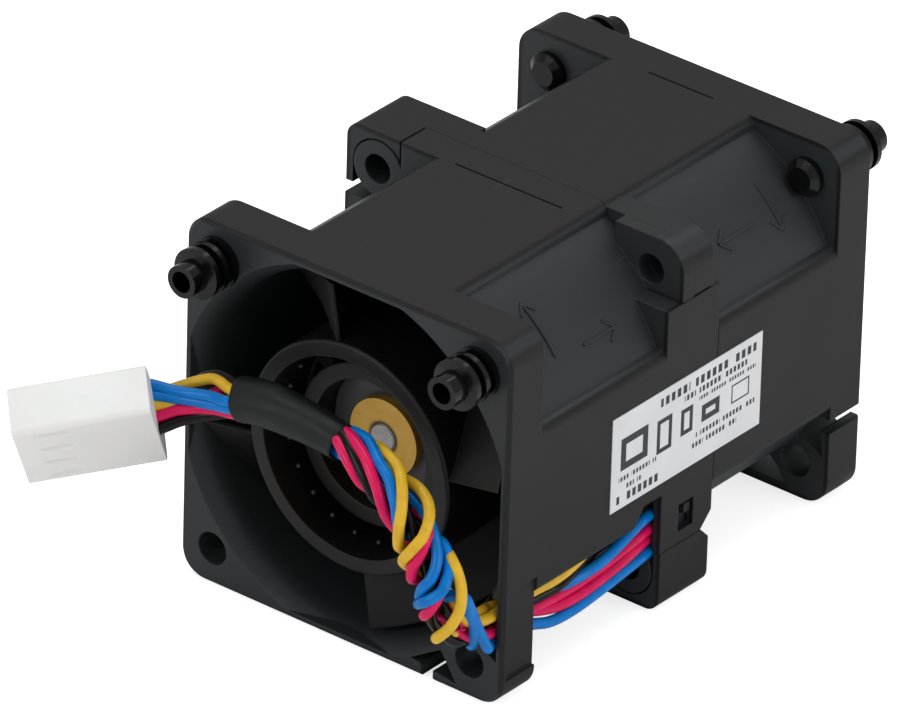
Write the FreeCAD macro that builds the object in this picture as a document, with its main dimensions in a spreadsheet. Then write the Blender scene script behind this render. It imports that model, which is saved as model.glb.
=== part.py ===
import FreeCAD, Part
import math
import os
import Sketcher

# Counter-rotating server fan module, 40 x 40 x 56 mm: two fans on one axis, back to back.
# Each fan is drawn in its own frame: z runs along the axis from the parting plane outwards,
# x to the right and y up as seen from outside. It is then placed as the front or the rear half.
# In the part's frame the axis runs along Y at half height, the front face looks towards -Y,
# and the origin is at the middle of the underside.

Vector = FreeCAD.Vector
Rotation = FreeCAD.Rotation

# Driving dimensions in millimetres and degrees. They fill the spreadsheet.
DIMENSIONS = {
    # square housing
    "frame_side": 40.0,
    "half_depth": 28.0,
    "corner_radius": 2.8,
    "edge_chamfer": 0.35,
    "flange_thickness": 5.0,
    "tube_radius": 20.8,
    "flat_half_width": 9.2,
    "flat_edge_radius": 1.0,
    "screw_pitch": 32.0,
    "screw_hole_radius": 1.75,
    "rail_width": 0.8,
    "head_relief_radius": 2.15,
    "head_relief_depth": 1.6,
    # air duct
    "throat_radius": 18.9,
    "mouth_radius": 20.3,
    "mouth_depth": 3.2,
    "vane_duct_radius": 18.2,
    "vane_duct_depth": 4.6,
    "duct_cone_depth": 1.9,
    # middle joint
    "front_lip": 3.8,
    "rear_lip": 3.1,
    "hook_seat": 3.9,
    "hook_reach": 3.7,
    "hook_arm": 6.6,
    "hook_gap": 0.15,
    "hook_radius": 1.6,
    "foot_bevel": 1.2,
    "seat_reach": 11.1,
    "boss_radius": 3.0,
    "boss_hole_radius": 1.57,
    "corner_hole_depth": 2.4,
    "lip_cut_across": 6.85,
    "lip_cut_down": 7.9,
    "ear_reach": 8.5,
    "ear_thickness": 1.6,
    "ear_inset": 6.3,
    "ear_side_gap": 0.4,
    "ear_radius": 3.0,
    "strap_thickness": 0.9,
    "strap_reach": 4.2,
    "strap_top": 13.6,
    "strap_bottom": 13.3,
    "strap_bevel": 1.6,
    "strap_gap": 0.1,
    "strap_end_gap": 0.25,
    "parting_edge": 0.15,
    "groove_size": 0.25,
    "middle_groove_place": 3.5,
    "middle_groove_half": 6.6,
    "flange_groove_place": 23.1,
    "flange_groove_half": 4.0,
    "window_top": 9.0,
    "window_bottom": 12.0,
    "window_half_height": 1.15,
    "window_shift": 0.15,
    "barb_foot": 0.1,
    "barb_length": 1.0,
    "barb_height": 0.75,
    "barb_margin": 0.3,
    "barb_width": 1.4,
    "barb_slope": 0.2,
    # motor base and guide vanes
    "base_radius": 12.1,
    "base_thickness": 1.8,
    "base_skirt": 3.6,
    "skirt_wall": 0.8,
    "collar_radius": 5.2,
    "collar_height": 6.0,
    "board_seat_radius": 6.0,
    "board_seat_height": 3.0,
    "bearing_tube_radius": 4.0,
    "press_gap": 0.02,
    "vane_count": 5,
    "vane_height": 4.2,
    "vane_thickness": 1.1,
    "vane_lean": 2.2,
    "vane_sink": 0.4,
    # wire openings in the outer flange and at the middle
    "wire_channel_inner": 15.8,
    "wire_channel_outer": 19.0,
    "wire_channel_top": 7.0,
    "wire_channel_bottom": 13.7,
    "wire_channel_depth": 7.2,
    "wire_notch_top": 6.7,
    "wire_notch_bottom": 10.0,
    "wire_notch_start": 6.6,
    "wire_notch_end": 8.8,
    "opening_top": 8.0,
    "opening_bottom": 14.9,
    "opening_inside": 17.4,
    "opening_waist": 16.1,
    "opening_waist_drop": 12.3,
    "opening_heel": 17.6,
    "opening_heel_drop": 13.9,
    "spare_left": 8.8,
    "spare_left_drop": 18.4,
    "spare_right": 14.5,
    "spare_peak": 12.5,
    "spare_peak_drop": 16.1,
    "slit_width": 1.5,
    "slit_centre": 10.85,
    "slit_depth": 1.4,
    "side_recess_top": 7.2,
    "side_recess_bottom": 17.0,
    "side_recess_depth": 0.3,
    "side_recess_margin": 0.6,
    # impeller hub
    "hub_radius": 12.3,
    "hub_bore": 10.6,
    "hub_bottom": 4.4,
    "hub_face": 27.3,
    "hub_rounding": 0.35,
    "hub_web_bottom": 19.5,
    "hub_web_top": 20.7,
    "hub_ring_radius": 8.6,
    "hub_ring_bore": 6.9,
    "hub_ring_face": 24.0,
    "window_count": 18,
    "window_width": 1.7,
    "window_inner_radius": 8.75,
    "window_outer_radius": 10.3,
    # blades
    "blade_root_radius": 11.4,
    "blade_tip_radius": 18.25,
    "blade_root_thickness": 1.15,
    "blade_tip_thickness": 0.75,
    "blade_loft_start": 8.0,
    "blade_loft_end": 19.0,
    "blade_quickening": 0.25,
    "blade_edge_share": 0.45,
    "blade_belly": 2.2,
    "front_blade_count": 4,
    "front_blade_top": 26.8,
    "front_blade_bottom": 7.6,
    "front_blade_wrap": 76.0,
    "front_blade_phase": 99.0,
    "rear_blade_count": 5,
    "rear_blade_top": 26.6,
    "rear_blade_bottom": 7.8,
    "rear_blade_wrap": 60.0,
    "rear_blade_phase": 12.0,
    # rotor yoke, magnet, bush and shaft
    "yoke_radius": 10.55,
    "yoke_wall": 0.8,
    "yoke_bottom": 5.0,
    "yoke_step_radius": 6.8,
    "yoke_step_height": 1.5,
    "yoke_hole_count": 9,
    "yoke_hole_radius": 0.8,
    "yoke_hole_circle": 8.6,
    "magnet_bore": 8.55,
    "magnet_top": 14.8,
    "magnet_bottom": 5.8,
    "bush_disc_radius": 4.1,
    "bush_disc_thickness": 1.0,
    "bush_radius": 3.2,
    "bush_bottom": 17.5,
    "shaft_radius": 1.5,
    "shaft_chamfer": 0.15,
    "shaft_bottom": 0.6,
    "shaft_top": 22.2,
    "groove_radius": 1.2,
    "clip_bottom": 1.0,
    "clip_thickness": 0.4,
    "clip_radius": 2.5,
    "clip_mouth": 1.8,
    # bearings and stator
    "bearing_bore": 1.53,
    "bearing_radius": 2.98,
    "bearing_width": 2.5,
    "shield_step": 0.2,
    "shield_inner": 1.95,
    "shield_outer": 2.6,
    "inner_bearing_bottom": 1.7,
    "outer_bearing_bottom": 13.9,
    "tube_bottom": 0.4,
    "tube_top": 16.6,
    "tube_bore": 3.0,
    "tube_land_bore": 2.4,
    "spring_inner": 1.6,
    "spring_outer": 2.5,
    "spring_wire": 0.25,
    "spring_clearance": 0.05,
    "core_bottom": 7.0,
    "core_height": 6.0,
    "core_radius": 8.1,
    "core_ring": 5.2,
    "tooth_count": 6,
    "tooth_half_width": 0.8,
    "tooth_sink": 0.4,
    "shoe_inner": 7.1,
    "shoe_half_width": 3.1,
    "shoe_edge": 0.5,
    "insulator_thickness": 0.5,
    "coil_inner": 5.35,
    "coil_outer": 6.95,
    "coil_wall": 1.05,
    "board_radius": 11.0,
    "board_bore": 5.25,
    "board_thickness": 0.9,
    "chip_size": 2.4,
    "chip_height": 0.8,
    "chip_circle": 8.2,
    "chip_count": 3,
    # rating label and rubber pins
    "label_front": 12.0,
    "label_rear": 11.3,
    "label_bottom": 14.8,
    "label_top": 25.2,
    "label_thickness": 0.08,
    "pin_radius": 1.7,
    "pin_bore": 1.1,
    "pin_bore_depth": 4.6,
    "pin_reach": 5.5,
    "pin_rib_radius": 2.65,
    "pin_rib_height": 0.6,
    "pin_rib_pitch": 1.4,
    "pin_rib_slope": 0.2,
    "pin_rib_count": 3,
    "pin_tail": 1.3,
    "pin_tail_radius": 2.0,
    "pin_tail_tip": 1.3,
    "pin_tail_slope": 0.6,
    # leads, sleeve and connector
    "lead_layer": 1.3,
    "bundle_radius": 2.1,
    "sleeve_wall": 0.25,
    "sleeve_length": 10.5,
    "connector_length": 13.6,
    "connector_width": 10.2,
    "connector_thickness": 5.4,
    "connector_wall": 0.7,
    "cavity_depth": 11.5,
    "contact_pitch": 2.54,
    "contact_count": 4,
    "contact_width": 1.6,
    "contact_height": 2.4,
    "contact_length": 9.0,
}


class Size:
    """A dimension: its present value, and the expression that keeps it tied to the sheet."""

    def __init__(self, value, text):
        self.value = float(value)
        self.text = text

    def joined(self, other, sign, value):
        return Size(value, f"({self.text} {sign} {as_size(other).text})")

    def __add__(self, other):
        return self.joined(other, "+", self.value + as_size(other).value)

    def __sub__(self, other):
        return self.joined(other, "-", self.value - as_size(other).value)

    def __mul__(self, other):
        return self.joined(other, "*", self.value * as_size(other).value)

    def __truediv__(self, other):
        return self.joined(other, "/", self.value / as_size(other).value)

    def __rsub__(self, other):
        return as_size(other) - self

    def __neg__(self):
        return Size(-self.value, f"(0 - {self.text})")

    def across(self, other):
        """The other leg of a right triangle whose hypotenuse is this size."""
        other = as_size(other)
        value = math.sqrt(self.value**2 - other.value**2)
        return Size(value, f"sqrt({self.text}^2 - {other.text}^2)")


class Sizes:
    """Gives each driving dimension by name, as a Size."""

    def __getattr__(self, name):
        return Size(DIMENSIONS[name], f"dims.{name}")


def as_size(number):
    return number if isinstance(number, Size) else Size(number, repr(float(number)))


S = Sizes()
doc = FreeCAD.newDocument("server_fan_module")
dims = doc.addObject("Spreadsheet::Sheet", "dims")
for row, (alias, number) in enumerate(DIMENSIONS.items(), start=1):
    dims.set(f"A{row}", str(number))
    dims.setAlias(f"A{row}", alias)
doc.recompute()

HALF_SIDE = S.frame_side / 2
SCREW = S.screw_pitch / 2
FACE = S.half_depth

# A quarter turn about X takes a half's own z axis to -Y, the front. The rear half is then turned
# half round the vertical, so that its own x axis runs the other way.
AXIS_HEIGHT = Vector(0, 0, HALF_SIDE.value)
FRONT = FreeCAD.Placement(AXIS_HEIGHT, Rotation(Vector(1, 0, 0), 90))
REAR = FreeCAD.Placement(AXIS_HEIGHT, Rotation(Vector(0, 0, 1), 180) * Rotation(Vector(1, 0, 0), 90))
HALVES = {"front": FRONT, "rear": REAR}

parts = []


# ---- small tools for bodies, sketches and features ----


def bind(item, path, size):
    """Sets a property from a Size and ties it to the sheet."""
    item.setExpression(path, as_size(size).text)


def keep(item, label, placement):
    """Names a finished sub-part, places it and puts it on the list of parts to write."""
    item.Label = label
    item.Placement = placement
    parts.append(item)
    return item


def new_body(name):
    return doc.addObject("PartDesign::Body", f"{name}_body")


def new_sketch(body, name, plane="XY_Plane", offset=None):
    """A sketch on one of the body's origin planes, lifted along the plane's normal."""
    sketch = body.newObject("Sketcher::SketchObject", name)
    support = next(f for f in body.Origin.OriginFeatures if f.Role == plane)
    sketch.AttachmentSupport = [(support, "")]
    sketch.MapMode = "FlatFace"
    if offset is not None:
        bind(sketch, "AttachmentOffset.Base.z", offset)
    doc.recompute()
    return sketch


def hold(sketch, kind, *places, size):
    """Adds one dimension to a sketch and ties it to the sheet."""
    size = as_size(size)
    index = sketch.addConstraint(Sketcher.Constraint(kind, *places, size.value))
    sketch.setExpression(f"Constraints[{index}]", size.text)


def place_point(sketch, geometry, end, x, y):
    """Fixes an end of a line or a centre at (x, y) from the sketch's origin."""
    for kind, axis, size in (("DistanceX", -2, as_size(x)), ("DistanceY", -1, as_size(y))):
        if abs(size.value) < 1e-9:
            sketch.addConstraint(Sketcher.Constraint("PointOnObject", geometry, end, axis))
        else:
            hold(sketch, kind, -1, 1, geometry, end, size=size)


def outline(sketch, points, arcs=None):
    """A closed outline through the points, anticlockwise. arcs gives the radius of a round side.

    A side is known by the number of the point that it starts from. A positive radius bulges
    outwards, a negative one inwards.
    """
    arcs = {number: as_size(radius) for number, radius in (arcs or {}).items()}
    spots = [Vector(as_size(x).value, as_size(y).value) for x, y in points]
    sides = []
    ends = []
    for number, start in enumerate(spots):
        finish = spots[(number + 1) % len(spots)]
        radius = arcs.get(number)
        if radius is None:
            sides.append(sketch.addGeometry(Part.LineSegment(start, finish)))
        else:
            sides.append(sketch.addGeometry(round_side(start, finish, radius.value)))
        ends.append((2, 1) if radius is not None and radius.value < 0 else (1, 2))
    for number, side in enumerate(sides):
        before = number - 1
        corner = (sides[before], ends[before][1], side, ends[number][0])
        sketch.addConstraint(Sketcher.Constraint("Coincident", *corner))
        place_point(sketch, side, ends[number][0], *points[number])
    for number, radius in arcs.items():
        hold(sketch, "Radius", sides[number], size=radius if radius.value > 0 else -radius)


def round_side(start, finish, radius):
    """The arc between two points. A sketch keeps every arc anticlockwise."""
    half = (finish - start) * 0.5
    rise = math.copysign(math.sqrt(max(radius**2 - half.Length**2, 0.0)), radius)
    centre = start + half + Vector(-half.y, half.x).normalize() * rise
    first, last = (start, finish) if radius > 0 else (finish, start)
    angles = [math.atan2(end.y - centre.y, end.x - centre.x) for end in (first, last)]
    return Part.ArcOfCircle(Part.Circle(centre, Vector(0, 0, 1), abs(radius)), *angles)


def circles(sketch, radius, centres=((0, 0),)):
    """Circles of one radius, each with its centre held in place."""
    for x, y in centres:
        spot = Vector(as_size(x).value, as_size(y).value)
        circle = sketch.addGeometry(Part.Circle(spot, Vector(0, 0, 1), as_size(radius).value))
        if abs(spot.x) < 1e-9 and abs(spot.y) < 1e-9:
            sketch.addConstraint(Sketcher.Constraint("Coincident", circle, 3, -1, 1))
        else:
            place_point(sketch, circle, 3, x, y)
        hold(sketch, "Radius", circle, size=radius)


def rectangle(sketch, left, bottom, right, top):
    outline(sketch, [(left, bottom), (right, bottom), (right, top), (left, top)])


def volume(body):
    return body.Shape.Volume if body.Tip else 0.0


def add(body, kind, sketch, name, **settings):
    """Adds one feature made from a sketch, and stops if it doesn't change the body as it should.

    A pattern cuts round walls into many faces. Merging those faces again spoils the solid, so
    the features that follow a pattern leave them apart.
    """
    before = volume(body)
    patterned = any(item.TypeId == "PartDesign::PolarPattern" for item in body.Group)
    feature = body.newObject(f"PartDesign::{kind}", name)
    feature.Refine = not patterned
    feature.Profile = sketch
    sketch.Visibility = False
    for setting, value in settings.items():
        if isinstance(value, Size):
            bind(feature, setting, value)
        else:
            setattr(feature, setting, value)
    doc.recompute()
    gained = volume(body) - before
    cuts = kind in ("Pocket", "Groove")
    if not feature.isValid() or (gained > -1e-6 if cuts else gained < 1e-6):
        raise RuntimeError(f"{body.Name}: {name} changes the volume by {gained:.4f}")
    return feature


def pad(body, sketch, name, length):
    return add(body, "Pad", sketch, name, Length=length)


def pocket(body, sketch, name, length):
    """Cuts from the sketch's plane along its normal."""
    return add(body, "Pocket", sketch, name, Length=length, Reversed=True)


def revolve(body, sketch, name, cut=False):
    """Turns a profile of (radius, z) points round the z axis."""
    kind = "Groove" if cut else "Revolution"
    return add(body, kind, sketch, name, ReferenceAxis=(sketch, ["V_Axis"]), Angle=360.0)


def turned_body(name, points, arcs=None):
    """A body of revolution from one closed profile of (radius, z) points."""
    body = new_body(name)
    sketch = new_sketch(body, f"{name}_profile", "XZ_Plane")
    outline(sketch, points, arcs)
    revolve(body, sketch, f"{name}_turning")
    return body


def repeat(body, features, name, count):
    """Repeats features evenly round the z axis."""
    pattern = body.newObject("PartDesign::PolarPattern", name)
    pattern.Originals = features
    axis = next(f for f in body.Origin.OriginFeatures if f.Role == "Z_Axis")
    pattern.Axis = (axis, [""])
    pattern.Angle = 360.0
    bind(pattern, "Occurrences", count)
    body.Tip = pattern
    doc.recompute()
    return pattern


def edges_where(feature, test):
    """Names of the feature's edges whose every sampled point passes the test."""
    names = []
    for number, edge in enumerate(feature.Shape.Edges, start=1):
        if all(test(point) for point in edge.discretize(5)):
            names.append(f"Edge{number}")
    if not names:
        raise RuntimeError(f"{feature.Name}: no edge to dress")
    return names


def dress(body, kind, name, test, size):
    """Rounds or chamfers the edges that pass the test."""
    base = body.Tip
    feature = body.newObject(f"PartDesign::{kind}", name)
    feature.Base = (base, edges_where(base, test))
    bind(feature, "Radius" if kind == "Fillet" else "Size", size)
    doc.recompute()
    if not feature.isValid():
        raise RuntimeError(f"{body.Name}: {name} fails")
    return feature


# ---- frames ----


def quarter_turned(points, turns=1):
    """Points of an outline after that many quarter turns anticlockwise."""
    for _ in range(turns):
        points = [(-as_size(y), as_size(x)) for x, y in points]
    return points


def tube_section():
    """The duct wall's outline: a flat with rounded edges, its two steps and an arc, four times."""
    step = S.tube_radius.across(S.flat_half_width)
    shoulder = HALF_SIDE - S.flat_edge_radius
    edge = S.flat_half_width - S.flat_edge_radius
    side = [
        (S.flat_half_width, step),
        (S.flat_half_width, shoulder),
        (edge, HALF_SIDE),
        (-edge, HALF_SIDE),
        (-S.flat_half_width, shoulder),
        (-S.flat_half_width, step),
    ]
    points = []
    arcs = {}
    for turns in range(4):
        first = len(points)
        points += quarter_turned(side, turns)
        arcs.update({first + 1: S.flat_edge_radius, first + 3: S.flat_edge_radius, first + 5: S.tube_radius})
    return points, arcs


def duct_profile():
    """Half the section of the air duct: narrow at the vanes, a cone, the throat and a bell mouth."""
    cone_top = S.vane_duct_depth + S.duct_cone_depth
    mouth_start = FACE - S.mouth_depth
    flare = S.mouth_radius - S.throat_radius
    curve = (S.mouth_depth * S.mouth_depth + flare * flare) / (flare * 2)
    points = [
        (0, 0),
        (S.vane_duct_radius, 0),
        (S.vane_duct_radius, S.vane_duct_depth),
        (S.throat_radius, cone_top),
        (S.throat_radius, mouth_start),
        (S.mouth_radius, FACE),
        (0, FACE),
    ]
    return points, {4: -curve}


def add_housing(body, name):
    """The square outer flange, the duct wall with its flats, and the duct through both."""
    sketch = new_sketch(body, f"{name}_tube_section")
    outline(sketch, *tube_section())
    pad(body, sketch, f"{name}_tube", FACE)
    for piece, inner in (("flange", None), ("rails", HALF_SIDE - S.rail_width)):
        if inner is not None:
            sketch = new_sketch(body, f"{name}_duct_profile", "XZ_Plane")
            outline(sketch, *duct_profile())
            revolve(body, sketch, f"{name}_duct", cut=True)
        sketch = new_sketch(body, f"{name}_{piece}_section", offset=FACE - S.flange_thickness)
        rectangle(sketch, -HALF_SIDE, -HALF_SIDE, HALF_SIDE, HALF_SIDE)
        if inner is not None:
            rectangle(sketch, -inner, -inner, inner, inner)
        pad(body, sketch, f"{name}_{piece}", S.flange_thickness)
    round_flange(body, name)


def round_flange(body, name):
    """Rounds the flange's four corners and breaks the edge of its face."""
    half, radius = HALF_SIDE.value, S.corner_radius.value
    near = 0.01

    def at_corner(point):
        return min(abs(point.x), abs(point.y)) > half - near

    def on_rim(point):
        if point.z < FACE.value - near:
            return False
        x, y = abs(point.x) - (half - radius), abs(point.y) - (half - radius)
        if x > 0 and y > 0:
            return abs(math.hypot(x, y) - radius) < near
        return max(x, y) > radius - near

    dress(body, "Fillet", f"{name}_corners", at_corner, S.corner_radius)
    dress(body, "Chamfer", f"{name}_face_edge", on_rim, S.edge_chamfer)


def add_motor_base(body, name):
    """Curved guide vanes from the duct wall, and the dish and collar that carry the motor."""
    sketch = new_sketch(body, f"{name}_vane_section", "YZ_Plane", offset=S.base_radius - S.vane_sink)
    half, lean = S.vane_thickness / 2, S.vane_lean / 2
    outline(
        sketch,
        [(-lean - half, 0), (half - lean, 0), (lean + half, S.vane_height), (lean - half, S.vane_height)],
        {1: S.vane_height * 2, 3: -(S.vane_height * 2)},
    )
    vane = pad(body, sketch, f"{name}_vane", S.vane_duct_radius - S.base_radius + S.vane_sink * 2)
    repeat(body, [vane], f"{name}_vanes", S.vane_count)
    sketch = new_sketch(body, f"{name}_base_profile", "YZ_Plane")
    bore = S.bearing_tube_radius + S.press_gap
    outline(
        sketch,
        [
            (bore, 0),
            (S.base_radius, 0),
            (S.base_radius, S.base_skirt),
            (S.base_radius - S.skirt_wall, S.base_skirt),
            (S.base_radius - S.skirt_wall, S.base_thickness),
            (S.board_seat_radius, S.base_thickness),
            (S.board_seat_radius, S.board_seat_height),
            (S.collar_radius, S.board_seat_height),
            (S.collar_radius, S.collar_height),
            (bore, S.collar_height),
        ],
    )
    revolve(body, sketch, f"{name}_base")


def add_screw_holes(body, name, quarter_turns):
    """Four screw holes, two wire openings beside one of them, and a slit to lay wires in.

    Behind the flange, the duct wall gives way to a screw's head or a rubber pin's tail.
    """
    floor = FACE - S.flange_thickness
    corners = [(x, y) for x in (-SCREW, SCREW) for y in (-SCREW, SCREW)]
    for piece, radius, start, depth in (
        ("screw_hole", S.screw_hole_radius, floor, S.flange_thickness),
        ("head_relief", S.head_relief_radius, floor - S.head_relief_depth, S.head_relief_depth),
    ):
        sketch = new_sketch(body, f"{name}_{piece}_circles", offset=start)
        circles(sketch, radius, corners)
        pocket(body, sketch, f"{name}_{piece}s", depth)
    rail = HALF_SIDE - S.rail_width
    left, right = S.slit_centre - S.slit_width / 2, S.slit_centre + S.slit_width / 2
    openings = {
        "spare_wire_opening": [
            (S.spare_left, -S.spare_left_drop),
            (S.spare_right, -rail),
            (S.spare_peak, -S.spare_peak_drop),
        ],
        "wire_opening": [
            (rail, -S.opening_bottom),
            (rail, -S.opening_top),
            (S.opening_inside, -S.opening_top),
            (S.opening_waist, -S.opening_waist_drop),
            (S.opening_heel, -S.opening_heel_drop),
        ],
        "wire_slit": [
            (left, -HALF_SIDE),
            (right, -HALF_SIDE),
            (right, S.slit_depth - HALF_SIDE),
            (left, S.slit_depth - HALF_SIDE),
        ],
    }
    for opening, points in openings.items():
        sketch = new_sketch(body, f"{name}_{opening}_outline", offset=floor)
        outline(sketch, quarter_turned(points, quarter_turns))
        pocket(body, sketch, f"{name}_{opening}", S.flange_thickness)


def add_side_recess(body, name):
    """A shallow recess in the flange's side, beside the wire opening."""
    inside = HALF_SIDE - S.side_recess_depth
    sketch = new_sketch(body, f"{name}_side_recess_outline", "YZ_Plane", offset=inside)
    back, front = FACE - S.flange_thickness, FACE - S.side_recess_margin
    rectangle(sketch, -S.side_recess_bottom, back, -S.side_recess_top, front)
    pocket(body, sketch, f"{name}_side_recess", S.side_recess_depth)


def add_top_groove(body, name, place, half):
    """A shallow groove across the top flat, parallel to the flange."""
    sketch = new_sketch(body, f"{name}_groove_outline", offset=place)
    rectangle(sketch, -half, HALF_SIDE - S.groove_size, half, HALF_SIDE)
    pocket(body, sketch, f"{name}_groove", S.groove_size)


def break_parting_edge(body, name):
    """Breaks the rear frame's edge at the parting plane, which leaves a fine line round the joint."""
    half, near = HALF_SIDE.value, 0.01

    def at_parting(point):
        return abs(point.z) < near and max(abs(point.y), point.x) > half - near

    dress(body, "Chamfer", f"{name}_parting_edge", at_parting, S.parting_edge)


def front_lip_outline():
    """The front frame's middle flange: cut away round its two bosses and behind its two ears."""
    across = HALF_SIDE - S.lip_cut_across
    down = HALF_SIDE - S.lip_cut_down
    inside = HALF_SIDE
    ear = S.strap_top
    flat = S.flat_half_width - S.flat_edge_radius
    return [
        (HALF_SIDE, -S.strap_bottom),
        (HALF_SIDE, ear),
        (inside.across(ear), ear),
        (flat, inside.across(flat)),
        (flat, HALF_SIDE),
        (-across, HALF_SIDE),
        (-across, inside.across(across)),
        (-inside.across(down), down),
        (-HALF_SIDE, down),
        (-HALF_SIDE, -ear),
        (-inside.across(ear), -ear),
        (-flat, -inside.across(flat)),
        (-flat, -HALF_SIDE),
        (across, -HALF_SIDE),
        (across, -inside.across(across)),
        (inside.across(S.strap_bottom), -S.strap_bottom),
    ]


def front_frame():
    """The front half of the housing, with its motor base, ears, screw bosses and snap strap."""
    name = "front_frame"
    body = new_body(name)
    add_middle_of_front(body, name)
    add_housing(body, name)
    add_motor_base(body, name)
    add_screw_holes(body, name, 0)
    add_wire_channel(body, name, 1, S.wire_channel_outer, S.wire_channel_depth)
    add_wire_notch(body, name)
    add_side_recess(body, name)
    add_top_groove(body, name, S.middle_groove_place, S.middle_groove_half)
    inside = HALF_SIDE - S.strap_thickness - S.window_shift
    sketch = new_sketch(body, f"{name}_window_outline", "YZ_Plane", offset=inside)
    rectangle(
        sketch,
        -S.window_bottom,
        -S.window_half_height - S.window_shift,
        -S.window_top,
        S.window_half_height - S.window_shift,
    )
    pocket(body, sketch, f"{name}_window", S.strap_thickness + S.window_shift * 2)
    keep(body, name, FRONT)


def add_middle_of_front(body, name):
    """The middle flange with two ear plates, two screw bosses and the snap strap."""
    sketch = new_sketch(body, f"{name}_lip_outline")
    outline(sketch, front_lip_outline())
    pad(body, sketch, f"{name}_lip", S.front_lip)
    far = HALF_SIDE - S.ear_side_gap
    near = HALF_SIDE - S.ear_inset
    ear = [
        (HALF_SIDE - S.ear_reach, near),
        (HALF_SIDE, near),
        (HALF_SIDE, far - S.ear_radius),
        (HALF_SIDE - S.ear_radius, far),
        (HALF_SIDE - S.ear_reach, far),
    ]
    for side, turns in (("top", 0), ("bottom", 2)):
        sketch = new_sketch(body, f"{name}_{side}_ear_outline")
        outline(sketch, quarter_turned(ear, turns), {2: S.ear_radius})
        pad(body, sketch, f"{name}_{side}_ear", S.ear_thickness)
    sketch = new_sketch(body, f"{name}_boss_circles")
    circles(sketch, S.boss_radius, [(-SCREW, SCREW), (SCREW, -SCREW)])
    pad(body, sketch, f"{name}_bosses", S.front_lip)
    sketch = new_sketch(body, f"{name}_boss_hole_circles")
    circles(sketch, S.boss_hole_radius, [(x, y) for x in (-SCREW, SCREW) for y in (-SCREW, SCREW)])
    pocket(body, sketch, f"{name}_boss_holes", S.front_lip)
    sketch = new_sketch(body, f"{name}_strap_outline", "YZ_Plane", offset=HALF_SIDE - S.strap_thickness)
    outline(
        sketch,
        [
            (S.strap_bevel - S.strap_bottom, -S.strap_reach),
            (S.strap_top, -S.strap_reach),
            (S.strap_top, 0),
            (-S.strap_bottom, 0),
            (-S.strap_bottom, S.strap_bevel - S.strap_reach),
        ],
    )
    pad(body, sketch, f"{name}_strap", S.strap_thickness)


def add_wire_channel(body, name, side, outer, depth):
    """The passage that takes the wires out of the duct, behind the strap."""
    inner, outer = S.wire_channel_inner * side, outer * side
    left, right = (inner, outer) if side > 0 else (outer, inner)
    sketch = new_sketch(body, f"{name}_wire_channel_outline")
    rectangle(sketch, left, -S.wire_channel_bottom, right, -S.wire_channel_top)
    pocket(body, sketch, f"{name}_wire_channel", depth)


def add_wire_notch(body, name):
    """A notch in the side flat's lower edge, where the wires come out from behind the strap."""
    sketch = new_sketch(body, f"{name}_wire_notch_outline", "YZ_Plane", offset=S.throat_radius)
    outline(
        sketch,
        [
            (-S.wire_notch_bottom, S.front_lip),
            (-S.wire_notch_top, S.front_lip),
            (-S.wire_notch_top, S.wire_notch_start),
            (-S.wire_notch_bottom, S.wire_notch_end),
        ],
    )
    pocket(body, sketch, f"{name}_wire_notch", HALF_SIDE - S.throat_radius)


def rear_frame():
    """The rear half of the housing: two corner hooks close round the front half's screw bosses."""
    name = "rear_frame"
    body = new_body(name)
    add_middle_of_rear(body, name)
    add_housing(body, name)
    add_motor_base(body, name)
    add_screw_holes(body, name, 3)
    add_wire_channel(body, name, -1, S.wire_channel_outer - S.strap_thickness, S.base_thickness)
    sketch = new_sketch(body, f"{name}_recess_outline")
    depth = S.strap_thickness + S.strap_gap
    low, high = -S.strap_bottom - S.strap_gap, S.strap_top + S.strap_end_gap
    rectangle(sketch, -HALF_SIDE, low, depth - HALF_SIDE, high)
    pocket(body, sketch, f"{name}_strap_recess", S.strap_reach + S.strap_gap)
    sketch = new_sketch(body, f"{name}_foot_bevel_outline", "YZ_Plane", offset=-HALF_SIDE)
    outline(
        sketch,
        [
            (low - S.foot_bevel, S.hook_seat),
            (low, S.hook_seat - S.foot_bevel),
            (low, S.hook_seat),
        ],
    )
    pocket(body, sketch, f"{name}_foot_bevel", HALF_SIDE - S.tube_radius.across(low))
    sketch = new_sketch(body, f"{name}_barb_outline", offset=S.barb_foot)
    floor = depth - HALF_SIDE
    high = -S.window_top - S.barb_margin
    low = high - S.barb_width
    outline(
        sketch,
        [
            (floor + S.barb_slope, low),
            (floor + S.barb_slope, high),
            (floor, high),
            (floor - S.barb_height, high - S.barb_slope),
            (floor - S.barb_height, low + S.barb_slope),
            (floor, low),
        ],
    )
    pad(body, sketch, f"{name}_barb", S.barb_length)
    add_top_groove(body, name, S.flange_groove_place, S.flange_groove_half)
    break_parting_edge(body, name)
    keep(body, name, REAR)


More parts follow.
